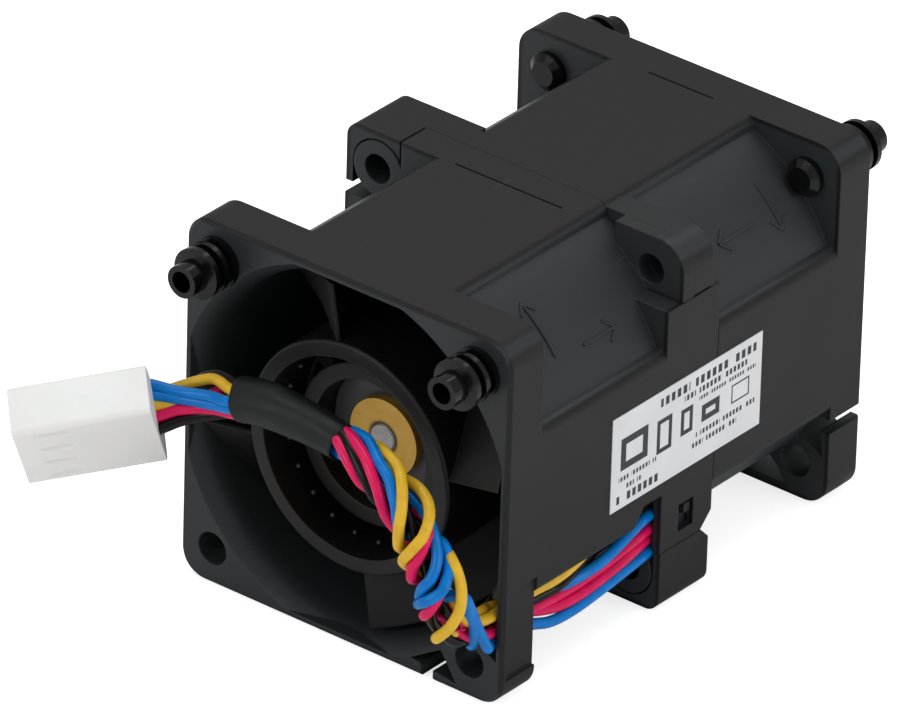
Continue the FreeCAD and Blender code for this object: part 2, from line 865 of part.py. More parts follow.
def add_middle_of_rear(body, name):
    """The middle flange, thicker at the two hooks that reach forward over the front's bosses."""
    shoulder = HALF_SIDE - S.hook_radius
    far = HALF_SIDE - S.ear_side_gap
    edge = S.flat_half_width - S.flat_edge_radius
    sketch = new_sketch(body, f"{name}_lip_outline")
    half = [
        (HALF_SIDE, shoulder),
        (shoulder, HALF_SIDE),
        (-edge, HALF_SIDE),
        (-edge, far),
        (S.ear_radius - HALF_SIDE, far),
        (-HALF_SIDE, far - S.ear_radius),
    ]
    arcs = {0: S.hook_radius, 4: S.ear_radius, 6: S.hook_radius, 10: S.ear_radius}
    outline(sketch, half + quarter_turned(half, 2), arcs)
    pad(body, sketch, f"{name}_lip", S.rear_lip)
    seat = HALF_SIDE - S.seat_reach
    corner = [
        (seat, seat),
        (HALF_SIDE, seat),
        (HALF_SIDE, shoulder),
        (shoulder, HALF_SIDE),
        (seat, HALF_SIDE),
    ]
    arm = HALF_SIDE - S.hook_arm
    bore = S.boss_radius + S.hook_gap
    hook = [
        (HALF_SIDE, arm),
        (HALF_SIDE, shoulder),
        (shoulder, HALF_SIDE),
        (arm, HALF_SIDE),
        (arm, SCREW + bore.across(SCREW - arm)),
        (SCREW + bore, SCREW),
        (SCREW + bore, arm),
    ]
    for side, turns in (("top", 0), ("bottom", 2)):
        sketch = new_sketch(body, f"{name}_{side}_seat_outline")
        outline(sketch, quarter_turned(corner, turns), {2: S.hook_radius})
        pad(body, sketch, f"{name}_{side}_seat", S.hook_seat)
        sketch = new_sketch(body, f"{name}_{side}_hook_outline", offset=-S.hook_reach)
        outline(sketch, quarter_turned(hook, turns), {1: S.hook_radius, 4: -bore})
        pad(body, sketch, f"{name}_{side}_hook", S.hook_reach)
    sketch = new_sketch(body, f"{name}_corner_hole_circles")
    circles(sketch, S.boss_hole_radius, [(x, y) for x in (-SCREW, SCREW) for y in (-SCREW, SCREW)])
    pocket(body, sketch, f"{name}_corner_holes", S.corner_hole_depth)


# ---- impellers ----


def hub_body(name):
    """The impeller's hub: a deep cup with a web, a ring inside it and cooling windows."""
    rim = S.hub_face - S.hub_rounding
    body = turned_body(
        f"{name}_hub",
        [
            (S.hub_radius, S.hub_bottom),
            (S.hub_radius, rim),
            (S.hub_radius - S.hub_rounding, S.hub_face),
            (S.hub_bore, S.hub_face),
            (S.hub_bore, S.hub_web_top),
            (S.hub_ring_radius, S.hub_web_top),
            (S.hub_ring_radius, S.hub_ring_face),
            (S.hub_ring_bore, S.hub_ring_face),
            (S.hub_ring_bore, S.hub_web_bottom),
            (S.hub_bore, S.hub_web_bottom),
            (S.hub_bore, S.hub_bottom),
        ],
        {1: S.hub_rounding},
    )
    sketch = new_sketch(body, f"{name}_window_outline", offset=S.hub_web_bottom)
    half = S.window_width / 2
    rectangle(sketch, S.window_inner_radius, -half, S.window_outer_radius, half)
    window = pocket(body, sketch, f"{name}_window", S.hub_web_top - S.hub_web_bottom)
    repeat(body, [window], f"{name}_windows", S.window_count)
    return body


def blade_section(distance, thickness, top, bottom, wrap, hand):
    """One section of a blade, on the flat at that distance from the axis.

    The blade wraps round the axis as it goes down, slower towards its lower edge. On the flat,
    a point at an angle from the blade's middle lies that distance times the angle's tangent across.
    It is thickest at its middle and thins towards both edges.
    """
    steps = 6
    bend = S.blade_quickening.value
    edge_share, belly = S.blade_edge_share.value, S.blade_belly.value
    faces = {1: [], -1: []}
    for step in range(steps + 1):
        along = step / steps
        angle = math.radians(wrap * (along - 0.5))
        height = top + (bottom - top) * (along + bend * along * (along - 1))
        across = distance * math.tan(angle) * hand
        slope_across = distance / math.cos(angle) ** 2 * math.radians(wrap) * hand
        slope_height = (bottom - top) * (1 + bend * (2 * along - 1))
        normal = Vector(0, -slope_height, slope_across).normalize()
        half = thickness / 2 * (edge_share + belly * along * (1 - along))
        for side, row in faces.items():
            row.append(Vector(distance, across, height) + normal * (half * side))
    edges = []
    for side in (1, -1):
        curve = Part.BSplineCurve()
        curve.interpolate(faces[side] if side > 0 else faces[side][::-1])
        edges.append(curve.toShape())
    for first, last in ((faces[1][-1], faces[-1][-1]), (faces[-1][0], faces[1][0])):
        edges.append(Part.makeLine(first, last))
    return Part.Wire(Part.__sortEdges__(edges))


def blade(half, hand):
    """A twisted blade, trimmed to the hub's wall and to its tip radius."""
    top = DIMENSIONS[f"{half}_blade_top"]
    bottom = DIMENSIONS[f"{half}_blade_bottom"]
    wrap = DIMENSIONS[f"{half}_blade_wrap"]
    root, tip = S.blade_root_radius.value, S.blade_tip_radius.value
    sections = []
    for distance, thickness in (
        (S.blade_loft_start.value, S.blade_root_thickness.value),
        (S.blade_loft_end.value, S.blade_tip_thickness.value),
    ):
        sections.append(blade_section(distance, thickness, top, bottom, wrap, hand))
    loft = Part.makeLoft(sections, True, True)
    ring = Part.makeCylinder(tip, FACE.value).cut(Part.makeCylinder(root, FACE.value))
    return loft.common(ring)


def impeller(half, hand):
    """The hub with its blades, moulded in one."""
    name = f"{half}_impeller"
    pieces = [hub_body(name)]
    form = blade(half, hand)
    count = int(DIMENSIONS[f"{half}_blade_count"])
    wrap = DIMENSIONS[f"{half}_blade_wrap"]
    first = DIMENSIONS[f"{half}_blade_phase"] + hand * wrap / 2
    for number in range(count):
        piece = doc.addObject("Part::Feature", f"{name}_blade_{number + 1}")
        piece.Shape = form
        turn = first + 360 * number / count
        piece.Placement = FreeCAD.Placement(Vector(), Rotation(Vector(0, 0, 1), turn))
        pieces.append(piece)
    whole = doc.addObject("Part::MultiFuse", f"{name}_fusion")
    whole.Shapes = pieces
    whole.Refine = False
    doc.recompute()
    keep(whole, name, HALVES[half])


# ---- rotor ----


def rotor_yoke(half):
    """The pressed-steel cup that closes the magnet's field, with a raised centre and vent holes."""
    name = f"{half}_rotor_yoke"
    top = S.hub_web_bottom
    wall = S.yoke_wall
    step = S.yoke_step_height
    body = turned_body(
        name,
        [
            (S.yoke_radius, S.yoke_bottom),
            (S.yoke_radius, top),
            (S.yoke_step_radius, top),
            (S.yoke_step_radius, top + step),
            (S.bush_radius, top + step),
            (S.bush_radius, top + step - wall),
            (S.yoke_step_radius - wall, top + step - wall),
            (S.yoke_step_radius - wall, top - wall),
            (S.yoke_radius - wall, top - wall),
            (S.yoke_radius - wall, S.yoke_bottom),
        ],
    )
    sketch = new_sketch(body, f"{name}_vent_circle", offset=top - wall)
    circles(sketch, S.yoke_hole_radius, [(S.yoke_hole_circle, 0)])
    vent = pocket(body, sketch, f"{name}_vent", wall)
    repeat(body, [vent], f"{name}_vents", S.yoke_hole_count)
    keep(body, name, HALVES[half])


def magnet_ring(half):
    outer = S.yoke_radius - S.yoke_wall
    points = [
        (S.magnet_bore, S.magnet_bottom),
        (outer, S.magnet_bottom),
        (outer, S.magnet_top),
        (S.magnet_bore, S.magnet_top),
    ]
    keep(turned_body(f"{half}_magnet_ring", points), f"{half}_magnet_ring", HALVES[half])


def rotor_bush(half):
    """The brass bush riveted through the yoke, which grips the shaft."""
    seat = S.hub_web_bottom + S.yoke_step_height
    points = [
        (S.shaft_radius, S.bush_bottom),
        (S.bush_radius, S.bush_bottom),
        (S.bush_radius, seat),
        (S.bush_disc_radius, seat),
        (S.bush_disc_radius, seat + S.bush_disc_thickness),
        (S.shaft_radius, seat + S.bush_disc_thickness),
    ]
    keep(turned_body(f"{half}_rotor_bush", points), f"{half}_rotor_bush", HALVES[half])


def shaft(half):
    """The ground steel shaft, with a groove for the retaining clip."""
    edge = S.shaft_radius - S.shaft_chamfer
    clip_top = S.clip_bottom + S.clip_thickness
    points = [
        (0, S.shaft_bottom),
        (edge, S.shaft_bottom),
        (S.shaft_radius, S.shaft_bottom + S.shaft_chamfer),
        (S.shaft_radius, S.clip_bottom),
        (S.groove_radius, S.clip_bottom),
        (S.groove_radius, clip_top),
        (S.shaft_radius, clip_top),
        (S.shaft_radius, S.shaft_top - S.shaft_chamfer),
        (edge, S.shaft_top),
        (0, S.shaft_top),
    ]
    keep(turned_body(f"{half}_shaft", points), f"{half}_shaft", HALVES[half])


def retaining_clip(half):
    """An open clip in the shaft's groove, which keeps the rotor in its bearings."""
    name = f"{half}_retaining_clip"
    points = [
        (S.groove_radius, S.clip_bottom),
        (S.clip_radius, S.clip_bottom),
        (S.clip_radius, S.clip_bottom + S.clip_thickness),
        (S.groove_radius, S.clip_bottom + S.clip_thickness),
    ]
    body = turned_body(name, points)
    sketch = new_sketch(body, f"{name}_mouth_outline", offset=S.clip_bottom)
    rectangle(sketch, 0, -S.clip_mouth / 2, S.clip_radius + S.clip_thickness, S.clip_mouth / 2)
    pocket(body, sketch, f"{name}_mouth", S.clip_thickness)
    keep(body, name, HALVES[half])


def preload_spring(half):
    """The washer spring between the outer bearing and the bush, dished to push them apart."""
    bottom = S.outer_bearing_bottom + S.bearing_width + S.spring_clearance
    top = S.bush_bottom
    points = [
        (S.spring_inner, bottom),
        (S.spring_inner + S.spring_wire, bottom),
        (S.spring_outer, top - S.spring_wire),
        (S.spring_outer, top),
        (S.spring_outer - S.spring_wire, top),
        (S.spring_inner, bottom + S.spring_wire),
    ]
    keep(turned_body(f"{half}_preload_spring", points), f"{half}_preload_spring", HALVES[half])


# ---- stator and bearings ----


def bearing(half, place):
    """A shielded ball bearing, drawn as a ring with its sunk shields."""
    name = f"{half}_{place}_bearing"
    bottom = getattr(S, f"{place}_bearing_bottom")
    top = bottom + S.bearing_width
    sunk = S.shield_step
    points = [
        (S.bearing_bore, bottom),
        (S.shield_inner, bottom),
        (S.shield_inner, bottom + sunk),
        (S.shield_outer, bottom + sunk),
        (S.shield_outer, bottom),
        (S.bearing_radius, bottom),
        (S.bearing_radius, top),
        (S.shield_outer, top),
        (S.shield_outer, top - sunk),
        (S.shield_inner, top - sunk),
        (S.shield_inner, top),
        (S.bearing_bore, top),
    ]
    keep(turned_body(name, points), name, HALVES[half])


def bearing_tube(half):
    """The brass tube that carries both bearings, on a land between them."""
    low = S.inner_bearing_bottom + S.bearing_width
    points = [
        (S.tube_bore, S.tube_bottom),
        (S.bearing_tube_radius, S.tube_bottom),
        (S.bearing_tube_radius, S.tube_top),
        (S.tube_bore, S.tube_top),
        (S.tube_bore, S.outer_bearing_bottom),
        (S.tube_land_bore, S.outer_bearing_bottom),
        (S.tube_land_bore, low),
        (S.tube_bore, low),
    ]
    keep(turned_body(f"{half}_bearing_tube", points), f"{half}_bearing_tube", HALVES[half])


def pole_plate(name, bottom, height):
    """A six-pole plate: a ring, and teeth that widen into shoes along the air gap."""
    body = new_body(name)
    sketch = new_sketch(body, f"{name}_ring_circles", offset=bottom)
    circles(sketch, S.core_ring)
    circles(sketch, S.bearing_tube_radius + S.press_gap)
    pad(body, sketch, f"{name}_ring", height)
    sketch = new_sketch(body, f"{name}_tooth_outline", offset=bottom)
    half, shoe = S.tooth_half_width, S.shoe_half_width
    tip = S.core_radius.across(shoe)
    outline(
        sketch,
        [
            (S.core_ring - S.tooth_sink, -half),
            (S.shoe_inner, -half),
            (tip - S.shoe_edge, -shoe),
            (tip, -shoe),
            (tip, shoe),
            (tip - S.shoe_edge, shoe),
            (S.shoe_inner, half),
            (S.core_ring - S.tooth_sink, half),
        ],
        {3: S.core_radius},
    )
    tooth = pad(body, sketch, f"{name}_tooth", height)
    repeat(body, [tooth], f"{name}_teeth", S.tooth_count)
    return body


def stator_core(half):
    """The stack of steel laminations, pressed on the bearing tube."""
    name = f"{half}_stator_core"
    keep(pole_plate(name, S.core_bottom, S.core_height), name, HALVES[half])


def stator_insulators(half):
    """Plastic end plates that keep the windings off the steel."""
    for place, bottom in (
        ("lower", S.core_bottom - S.insulator_thickness),
        ("upper", S.core_bottom + S.core_height),
    ):
        name = f"{half}_{place}_insulator"
        keep(pole_plate(name, bottom, S.insulator_thickness), name, HALVES[half])


def stator_windings(half):
    """Six coils of copper wire, one round each tooth."""
    name = f"{half}_stator_windings"
    bottom = S.core_bottom - S.insulator_thickness
    height = S.core_height + S.insulator_thickness * 2
    inner, wall = S.tooth_half_width + S.press_gap, S.coil_wall
    coils = []
    for number in range(int(S.tooth_count.value)):
        block = doc.addObject("Part::Box", f"{name}_block_{number + 1}")
        hole = doc.addObject("Part::Box", f"{name}_hole_{number + 1}")
        for box, grown in ((block, wall), (hole, as_size(0))):
            bind(box, "Length", S.coil_outer - S.coil_inner)
            bind(box, "Width", (inner + grown) * 2)
            bind(box, "Height", height + grown * 2)
            bind(box, "Placement.Base.x", S.coil_inner)
            bind(box, "Placement.Base.y", -(inner + grown))
            bind(box, "Placement.Base.z", bottom - grown)
        coil = doc.addObject("Part::Cut", f"{name}_coil_{number + 1}")
        coil.Base, coil.Tool = block, hole
        turn = 360 * number / S.tooth_count.value
        coil.Placement = FreeCAD.Placement(Vector(), Rotation(Vector(0, 0, 1), turn))
        coils.append(coil)
    group = doc.addObject("Part::Compound", f"{name}_group")
    group.Links = coils
    doc.recompute()
    keep(group, name, HALVES[half])


def circuit_board(half):
    """The ring-shaped driver board on the collar's shoulder, with its chips."""
    name = f"{half}_circuit_board"
    body = new_body(name)
    sketch = new_sketch(body, f"{name}_circles", offset=S.board_seat_height)
    circles(sketch, S.board_radius)
    circles(sketch, S.board_bore)
    pad(body, sketch, f"{name}_board", S.board_thickness)
    sketch = new_sketch(body, f"{name}_chip_outline", offset=S.board_seat_height + S.board_thickness)
    half_chip = S.chip_size / 2
    rectangle(
        sketch,
        S.chip_circle - half_chip,
        -half_chip,
        S.chip_circle + half_chip,
        half_chip,
    )
    chip = pad(body, sketch, f"{name}_chip", S.chip_height)
    repeat(body, [chip], f"{name}_chips", S.chip_count)
    keep(body, name, HALVES[half])


# ---- label and rubber pins ----


def label():
    """The rating label, stuck over the strap and both frames on the right side."""
    box = doc.addObject("Part::Box", "rating_label_box")
    bind(box, "Length", S.label_thickness)
    bind(box, "Width", S.label_front + S.label_rear)
    bind(box, "Height", S.label_top - S.label_bottom)
    corner = Vector(HALF_SIDE.value, -S.label_front.value, S.label_bottom.value)
    keep(box, "rating_label", FreeCAD.Placement(corner, Rotation()))


def vibration_pin(half, side, x):
    """A rubber pin pulled through a screw hole: a tail behind the flange, ribs and a hollow end."""
    name = f"{half}_{side}_vibration_pin"
    hole = S.screw_hole_radius - S.press_gap
    end = FACE + S.pin_reach
    back = FACE - S.flange_thickness
    points = [
        (0, back - S.pin_tail),
        (S.pin_tail_tip, back - S.pin_tail),
        (S.pin_tail_radius, back - S.pin_tail + S.pin_tail_slope),
        (S.pin_tail_radius, back),
        (hole, back),
        (hole, FACE),
    ]
    for number in range(int(S.pin_rib_count.value)):
        foot = FACE + S.pin_rib_pitch * number
        if number:
            points.append((S.pin_radius, foot - S.pin_rib_slope))
        points += [
            (S.pin_rib_radius, foot),
            (S.pin_rib_radius, foot + S.pin_rib_height),
            (S.pin_radius, foot + S.pin_rib_height + S.pin_rib_slope),
        ]
    points += [
        (S.pin_radius, end),
        (S.pin_bore, end),
        (S.pin_bore, end - S.pin_bore_depth),
        (0, end - S.pin_bore_depth),
    ]
    body = turned_body(name, points)
    spot = FreeCAD.Placement(Vector(x, SCREW.value, 0), Rotation())
    keep(body, name, HALVES[half] * spot)


# ---- leads, sleeve and connector ----


# The connector's x axis points from its mating face to its leads.
CONNECTOR_TURN = Rotation(40.0, -12.0, -60.0)
LEADS_END = Vector(-16.6, -36.1, 22.5)
STRAIGHT_OUT = Vector(5.0, 0, 0)
# The free bundle's route from the wire opening in the front flange to the connector.
BUNDLE_ROUTE = [
    Vector(17.9, -28.0, 8.9),
    Vector(17.9, -30.9, 8.9),
    Vector(17.8, -33.3, 10.7),
    Vector(17.0, -34.4, 13.7),
    Vector(15.2, -34.2, 18.3),
    Vector(11.9, -33.4, 22.6),
    Vector(5.6, -32.4, 25.2),
    Vector(-7.0, -32.4, 26.4),
    LEADS_END + CONNECTOR_TURN.multVec(STRAIGHT_OUT),
    LEADS_END,
]
SLEEVE_RUN = (6, 7)
TANGENT_SHARE = 0.45

# The leads' flat layer in the corner: height from the parting plane, centre, and half its width.
LAYER_STATIONS = [
    (1.2, 18.0, -11.0, 2.3),
    (4.4, 18.0, -11.0, 2.3),
    (7.2, 18.9, -12.65, 2.3),
    (18.0, 18.9, -12.65, 2.3),
    (22.6, 18.5, -12.35, 1.65),
    (28.0, 18.1, -11.2, 2.3),
]


def lead_run():
    """The leads in the corner between the strap and the front flange, one flat layer of them."""
    half_layer = S.lead_layer.value / 2
    sections = []
    for z, x, y, half_width in LAYER_STATIONS:
        corners = [
            Vector(x - half_layer, y - half_width, z),
            Vector(x + half_layer, y - half_width, z),
            Vector(x + half_layer, y + half_width, z),
            Vector(x - half_layer, y + half_width, z),
        ]
        sections.append(Part.makePolygon(corners + corners[:1]))
    run = doc.addObject("Part::Feature", "lead_run_solid")
    run.Shape = Part.makeLoft(sections, True, True)
    keep(run, "lead_run", FRONT)


def rounded_route(points):
    """Straight runs joined by tangent arcs, each as large as its two runs allow."""
    edges = []
    here = points[0]
    for before, corner, after in zip(points, points[1:], points[2:]):
        inward = (corner - before).normalize()
        outward = (after - corner).normalize()
        turn = inward.getAngle(outward)
        tangent = TANGENT_SHARE * min((corner - before).Length, (after - corner).Length)
        radius = tangent / math.tan(turn / 2)
        start, finish = corner - inward * tangent, corner + outward * tangent
        centre_way = (outward - inward).normalize()
        middle = corner + centre_way * (radius / math.cos(turn / 2) - radius)
        edges.append(Part.LineSegment(here, start).toShape())
        edges.append(Part.Arc(start, middle, finish).toShape())
        here = finish
        print(f"bundle arc radius {radius:.2f} mm, turn {math.degrees(turn):.0f} degrees")
    edges.append(Part.LineSegment(here, points[-1]).toShape())
    return Part.Wire(edges)


def round_tube(route, radius):
    """A solid rod of that radius along the bundle's route."""
    circle = Part.makeCircle(radius, BUNDLE_ROUTE[0], BUNDLE_ROUTE[1] - BUNDLE_ROUTE[0])
    return route.makePipeShell([Part.Wire(circle)], True, True)


def bundle_and_sleeve():
    """The free bundle of leads as a plain tube, and the heat-shrunk sleeve round its middle."""
    route = rounded_route(BUNDLE_ROUTE)
    radius = S.bundle_radius.value
    tube = round_tube(route, radius)
    share = tube.Volume / (math.pi * radius**2 * route.Length)
    print(f"bundle length {route.Length:.1f} mm, volume over section times length {share:.4f}")
    first, last = (BUNDLE_ROUTE[number] for number in SLEEVE_RUN)
    way = (last - first).normalize()
    start = (first + last) * 0.5 - way * (S.sleeve_length.value / 2)
    stretch = Part.makeCylinder(radius * 3, S.sleeve_length.value, start, way)
    sleeve = round_tube(route, radius + S.sleeve_wall.value).common(stretch).cut(tube)
    for label, shape in (("lead_bundle", tube), ("shrink_sleeve", sleeve)):
        item = doc.addObject("Part::Feature", f"{label}_tube")
        item.Shape = shape
        keep(item, label, FreeCAD.Placement())


def connector_placement():
    """The housing's x axis points to the leads, from the middle of its mating face."""
    reach = CONNECTOR_TURN.multVec(Vector(S.connector_length.value, 0, 0))
    return FreeCAD.Placement(LEADS_END - reach, CONNECTOR_TURN)


def connector():
    """The white housing with a cavity for each contact, and the contacts in it."""
    body = new_body("connector_housing")
    width, thickness = S.connector_width, S.connector_thickness
    sketch = new_sketch(body, "connector_section", "YZ_Plane")
    rectangle(sketch, -width / 2, -thickness / 2, width / 2, thickness / 2)
    pad(body, sketch, "connector_block", S.connector_length)
    count = int(S.contact_count.value)
    for number in range(count):
        middle = S.contact_pitch * (number - (count - 1) / 2)
        half = (S.contact_pitch - S.connector_wall) / 2
        sketch = new_sketch(body, f"cavity_outline_{number + 1}", "YZ_Plane")
        rectangle(sketch, middle - half, -thickness / 4, middle + half, thickness / 4)
        pocket(body, sketch, f"cavity_{number + 1}", S.cavity_depth)
    keep(body, "connector_housing", connector_placement())
    contacts = []
    for number in range(count):
        box = doc.addObject("Part::Box", f"contact_{number + 1}")
        middle = S.contact_pitch * (number - (count - 1) / 2)
        bind(box, "Length", S.contact_length)
        bind(box, "Width", S.contact_width)
        bind(box, "Height", S.contact_height)
        bind(box, "Placement.Base.x", S.cavity_depth - S.contact_length)
        bind(box, "Placement.Base.y", middle - S.contact_width / 2)
        bind(box, "Placement.Base.z", -(S.contact_height / 2))
        contacts.append(box)
    group = doc.addObject("Part::Compound", "contact_group")
    group.Links = contacts
    doc.recompute()
    keep(group, "connector_contacts", connector_placement())


# ---- the whole module ----


def fan_motor(half):
    rotor_yoke(half)
    magnet_ring(half)
    rotor_bush(half)
    shaft(half)
    retaining_clip(half)
    preload_spring(half)
    bearing(half, "inner")
    bearing(half, "outer")
    bearing_tube(half)
    stator_core(half)
    stator_insulators(half)
    stator_windings(half)
    circuit_board(half)


def write_parts():
    """Checks every object, then writes one file for each sub-part."""
    doc.recompute()
    failed = [item.Name for item in doc.Objects if {"Invalid", "Error"} & set(item.State)]
    if failed:
        raise RuntimeError(f"failed objects: {failed}")
    os.makedirs("parts", exist_ok=True)
    for item in parts:
        if item.Shape.isNull() or not item.Shape.isValid():
            raise RuntimeError(f"{item.Label}: its shape is not valid")
        item.Shape.exportStep(f"parts/{item.Label}.step")
    print(f"{len(parts)} parts written")


front_frame()
rear_frame()
impeller("front", 1)
impeller("rear", -1)
for half in HALVES:
    fan_motor(half)
    for side, x in (("left", -SCREW.value), ("right", SCREW.value)):
        vibration_pin(half, side, x)
label()
lead_run()
bundle_and_sleeve()
connector()
write_parts()
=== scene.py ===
import math

import bmesh
import bpy
from mathutils import Matrix, Vector


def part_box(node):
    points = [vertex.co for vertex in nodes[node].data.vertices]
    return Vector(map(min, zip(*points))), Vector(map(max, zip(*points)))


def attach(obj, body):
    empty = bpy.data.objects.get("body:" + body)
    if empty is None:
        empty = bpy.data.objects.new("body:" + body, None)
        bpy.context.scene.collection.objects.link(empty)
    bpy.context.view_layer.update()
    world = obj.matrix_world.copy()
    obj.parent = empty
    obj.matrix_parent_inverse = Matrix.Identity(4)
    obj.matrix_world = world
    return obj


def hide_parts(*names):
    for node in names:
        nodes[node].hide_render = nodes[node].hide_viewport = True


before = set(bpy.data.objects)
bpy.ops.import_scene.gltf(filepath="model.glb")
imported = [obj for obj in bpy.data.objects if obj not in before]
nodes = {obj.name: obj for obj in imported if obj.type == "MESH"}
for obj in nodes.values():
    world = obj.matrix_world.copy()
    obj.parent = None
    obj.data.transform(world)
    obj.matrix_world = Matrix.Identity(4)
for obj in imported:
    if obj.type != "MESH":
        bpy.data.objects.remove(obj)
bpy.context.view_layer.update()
scene = bpy.context.scene

# ---- camera ----
# A long lens looks at the fan from the front right and above, so that it fills the picture with
# little perspective. The camera is turned slightly about its line of sight.

MM = 0.001
FOCAL_LENGTH = 557.69
CAMERA_PLACE = Vector((719.10, -928.31, 693.95)) * MM
CAMERA_RIGHT = Vector((0.7772, 0.6287, 0.0257))
CAMERA_BACK = Vector((0.5352, -0.6820, 0.4985))

camera_data = bpy.data.cameras.new("studio_camera")
camera_data.lens = FOCAL_LENGTH
camera_data.sensor_width = 36.0
camera_data.clip_start, camera_data.clip_end = 0.05, 20.0
camera = bpy.data.objects.new("studio_camera", camera_data)
camera_right = CAMERA_RIGHT.normalized()
camera_back = CAMERA_BACK.normalized()
camera_up = camera_back.cross(camera_right).normalized()
camera_right = camera_up.cross(camera_back)
camera_turn = Matrix((camera_right, camera_up, camera_back)).transposed()
camera.matrix_world = Matrix.Translation(CAMERA_PLACE) @ camera_turn.to_4x4()
scene.collection.objects.link(camera)
scene.camera = camera

# ---- studio ----
# A pale floor under the fan, a pale world seen only by the camera and in reflections, and
# large soft lamps: one over the top, one on the right side and a weak one towards the front.

scene.view_settings.view_transform = "Standard"


class Wires:
    """Short way to build a node tree: an expression on sockets adds the nodes that it needs."""

    def __init__(self, tree, socket=None):
        self.tree = tree
        self.socket = socket

    def node(self, kind, settings=None, inputs=None, output=0):
        """Adds a node, sets its settings, feeds its inputs and gives one of its outputs."""
        made = self.tree.nodes.new(kind)
        for name, value in (settings or {}).items():
            if name == "stops":
                ramp = made.color_ramp
                while len(ramp.elements) < len(value):
                    ramp.elements.new(0.5)
                for stop, (place, colour) in zip(ramp.elements, value):
                    stop.position = place
                    stop.color = colour if len(colour) == 4 else (*colour, 1.0)
            else:
                setattr(made, name, value)
        for name, value in (inputs or {}).items():
            if isinstance(value, Wires):
                self.tree.links.new(value.socket, made.inputs[name])
            else:
                made.inputs[name].default_value = value
        return Wires(self.tree, made.outputs[output])

    def into(self, socket):
        """Feeds this value to an input of a node."""
        self.tree.links.new(self.socket, socket)

    def math(self, operation, *values):
        return self.node("ShaderNodeMath", {"operation": operation}, dict(enumerate(values)))

    def __add__(self, other):
        return self.math("ADD", self, other)

    def __radd__(self, other):
        return self.math("ADD", other, self)

    def __sub__(self, other):
        return self.math("SUBTRACT", self, other)

    def __rsub__(self, other):
        return self.math("SUBTRACT", other, self)

    def __mul__(self, other):
        return self.math("MULTIPLY", self, other)

    def __rmul__(self, other):
        return self.math("MULTIPLY", other, self)

    def __truediv__(self, other):
        return self.math("DIVIDE", self, other)

    def mix(self, first, second):
        """Two colours mixed by this value."""
        settings = {"data_type": "RGBA"}
        inputs = {0: self, 6: first, 7: second}
        return self.node("ShaderNodeMix", settings, inputs, output=2)

    def between(self, low, high, out_low=0.0, out_high=1.0):
        """This value taken from one range to another, kept inside it."""
        inputs = {"Value": self, "From Min": low, "From Max": high, "To Min": out_low, "To Max": out_high}
        return self.node("ShaderNodeMapRange", {"clamp": True}, inputs)


def srgb(red, green, blue):
    """A colour given in display values from 0 to 255, as the linear colour a shader takes."""
    def linear(value):
        value /= 255
        return value / 12.92 if value <= 0.04045 else ((value + 0.055) / 1.055) ** 2.4
    return (linear(red), linear(green), linear(blue), 1.0)


def new_material(name, **constants):
    """A material with its principled shader, and Wires to build the rest of its tree."""
    material = bpy.data.materials.new(name)
    material.use_nodes = True
    shader = material.node_tree.nodes["Principled BSDF"]
    for socket, value in constants.items():
        shader.inputs[socket.replace("_", " ")].default_value = value
    return material, shader, Wires(material.node_tree)


FLOOR_REACH = 6.0
FLOOR_GLOW = 0.7
WORLD_LIGHT = 0.5
LAMPS_AIM = Vector((0, 0, 0.02))

floor_mesh = bpy.data.meshes.new("floor")
floor_corners = [(x * FLOOR_REACH, y * FLOOR_REACH, 0) for x, y in ((-1, -1), (1, -1), (1, 1), (-1, 1))]
floor_mesh.from_pydata(floor_corners, [], [(0, 1, 2, 3)])
floor = bpy.data.objects.new("floor", floor_mesh)
scene.collection.objects.link(floor)
floor_material, floor_shader, tree = new_material(
    "floor_white", Base_Color=srgb(245, 245, 245), Roughness=0.9, Specular_IOR_Level=0.1
)
plain = Wires(tree.tree, floor_shader.outputs[0])
glow = tree.node("ShaderNodeEmission", None, {"Strength": FLOOR_GLOW})
glowing = tree.node("ShaderNodeAddShader", None, {0: plain, 1: glow})
by_camera = tree.node("ShaderNodeLightPath", output="Is Camera Ray")
seen = tree.node("ShaderNodeMixShader", None, {0: by_camera, 1: plain, 2: glowing})
seen.into(floor_material.node_tree.nodes["Material Output"].inputs["Surface"])
floor_mesh.materials.append(floor_material)

world = bpy.data.worlds.new("studio_world")
world.use_nodes = True
scene.world = world
backdrop = world.node_tree.nodes["Background"]
backdrop.inputs["Color"].default_value = (1, 1, 1, 1)
by_camera = Wires(world.node_tree).node("ShaderNodeLightPath", output="Is Camera Ray")
by_camera.math("MAXIMUM", by_camera, WORLD_LIGHT).into(backdrop.inputs["Strength"])

# each lamp: its name, its place and its side in metres, and its power in watts
for lamp_name, spot, size, power in (
    ("lamp_over_top", (-0.10, 0.15, 0.75), 0.7, 2.6),
    ("lamp_right_side", (0.80, 0.10, 0.35), 0.6, 2.2),
    ("lamp_front", (-0.25, -0.80, 0.45), 0.5, 1.8),
):
    lamp_data = bpy.data.lights.new(lamp_name, "AREA")
    lamp_data.shape = "SQUARE"
    lamp_data.size = size
    lamp_data.energy = power
    lamp = bpy.data.objects.new(lamp_name, lamp_data)
    way = LAMPS_AIM - Vector(spot)
    lamp.matrix_world = Matrix.Translation(spot) @ way.to_track_quat("-Z", "Y").to_matrix().to_4x4()
    scene.collection.objects.link(lamp)

# ---- free lead bundle ----
# Eight tinned-copper leads in thin plastic insulation leave the front flange, twist loosely round
# each other, pass through a shrunk sleeve and fan out into the connector. Two of each colour.

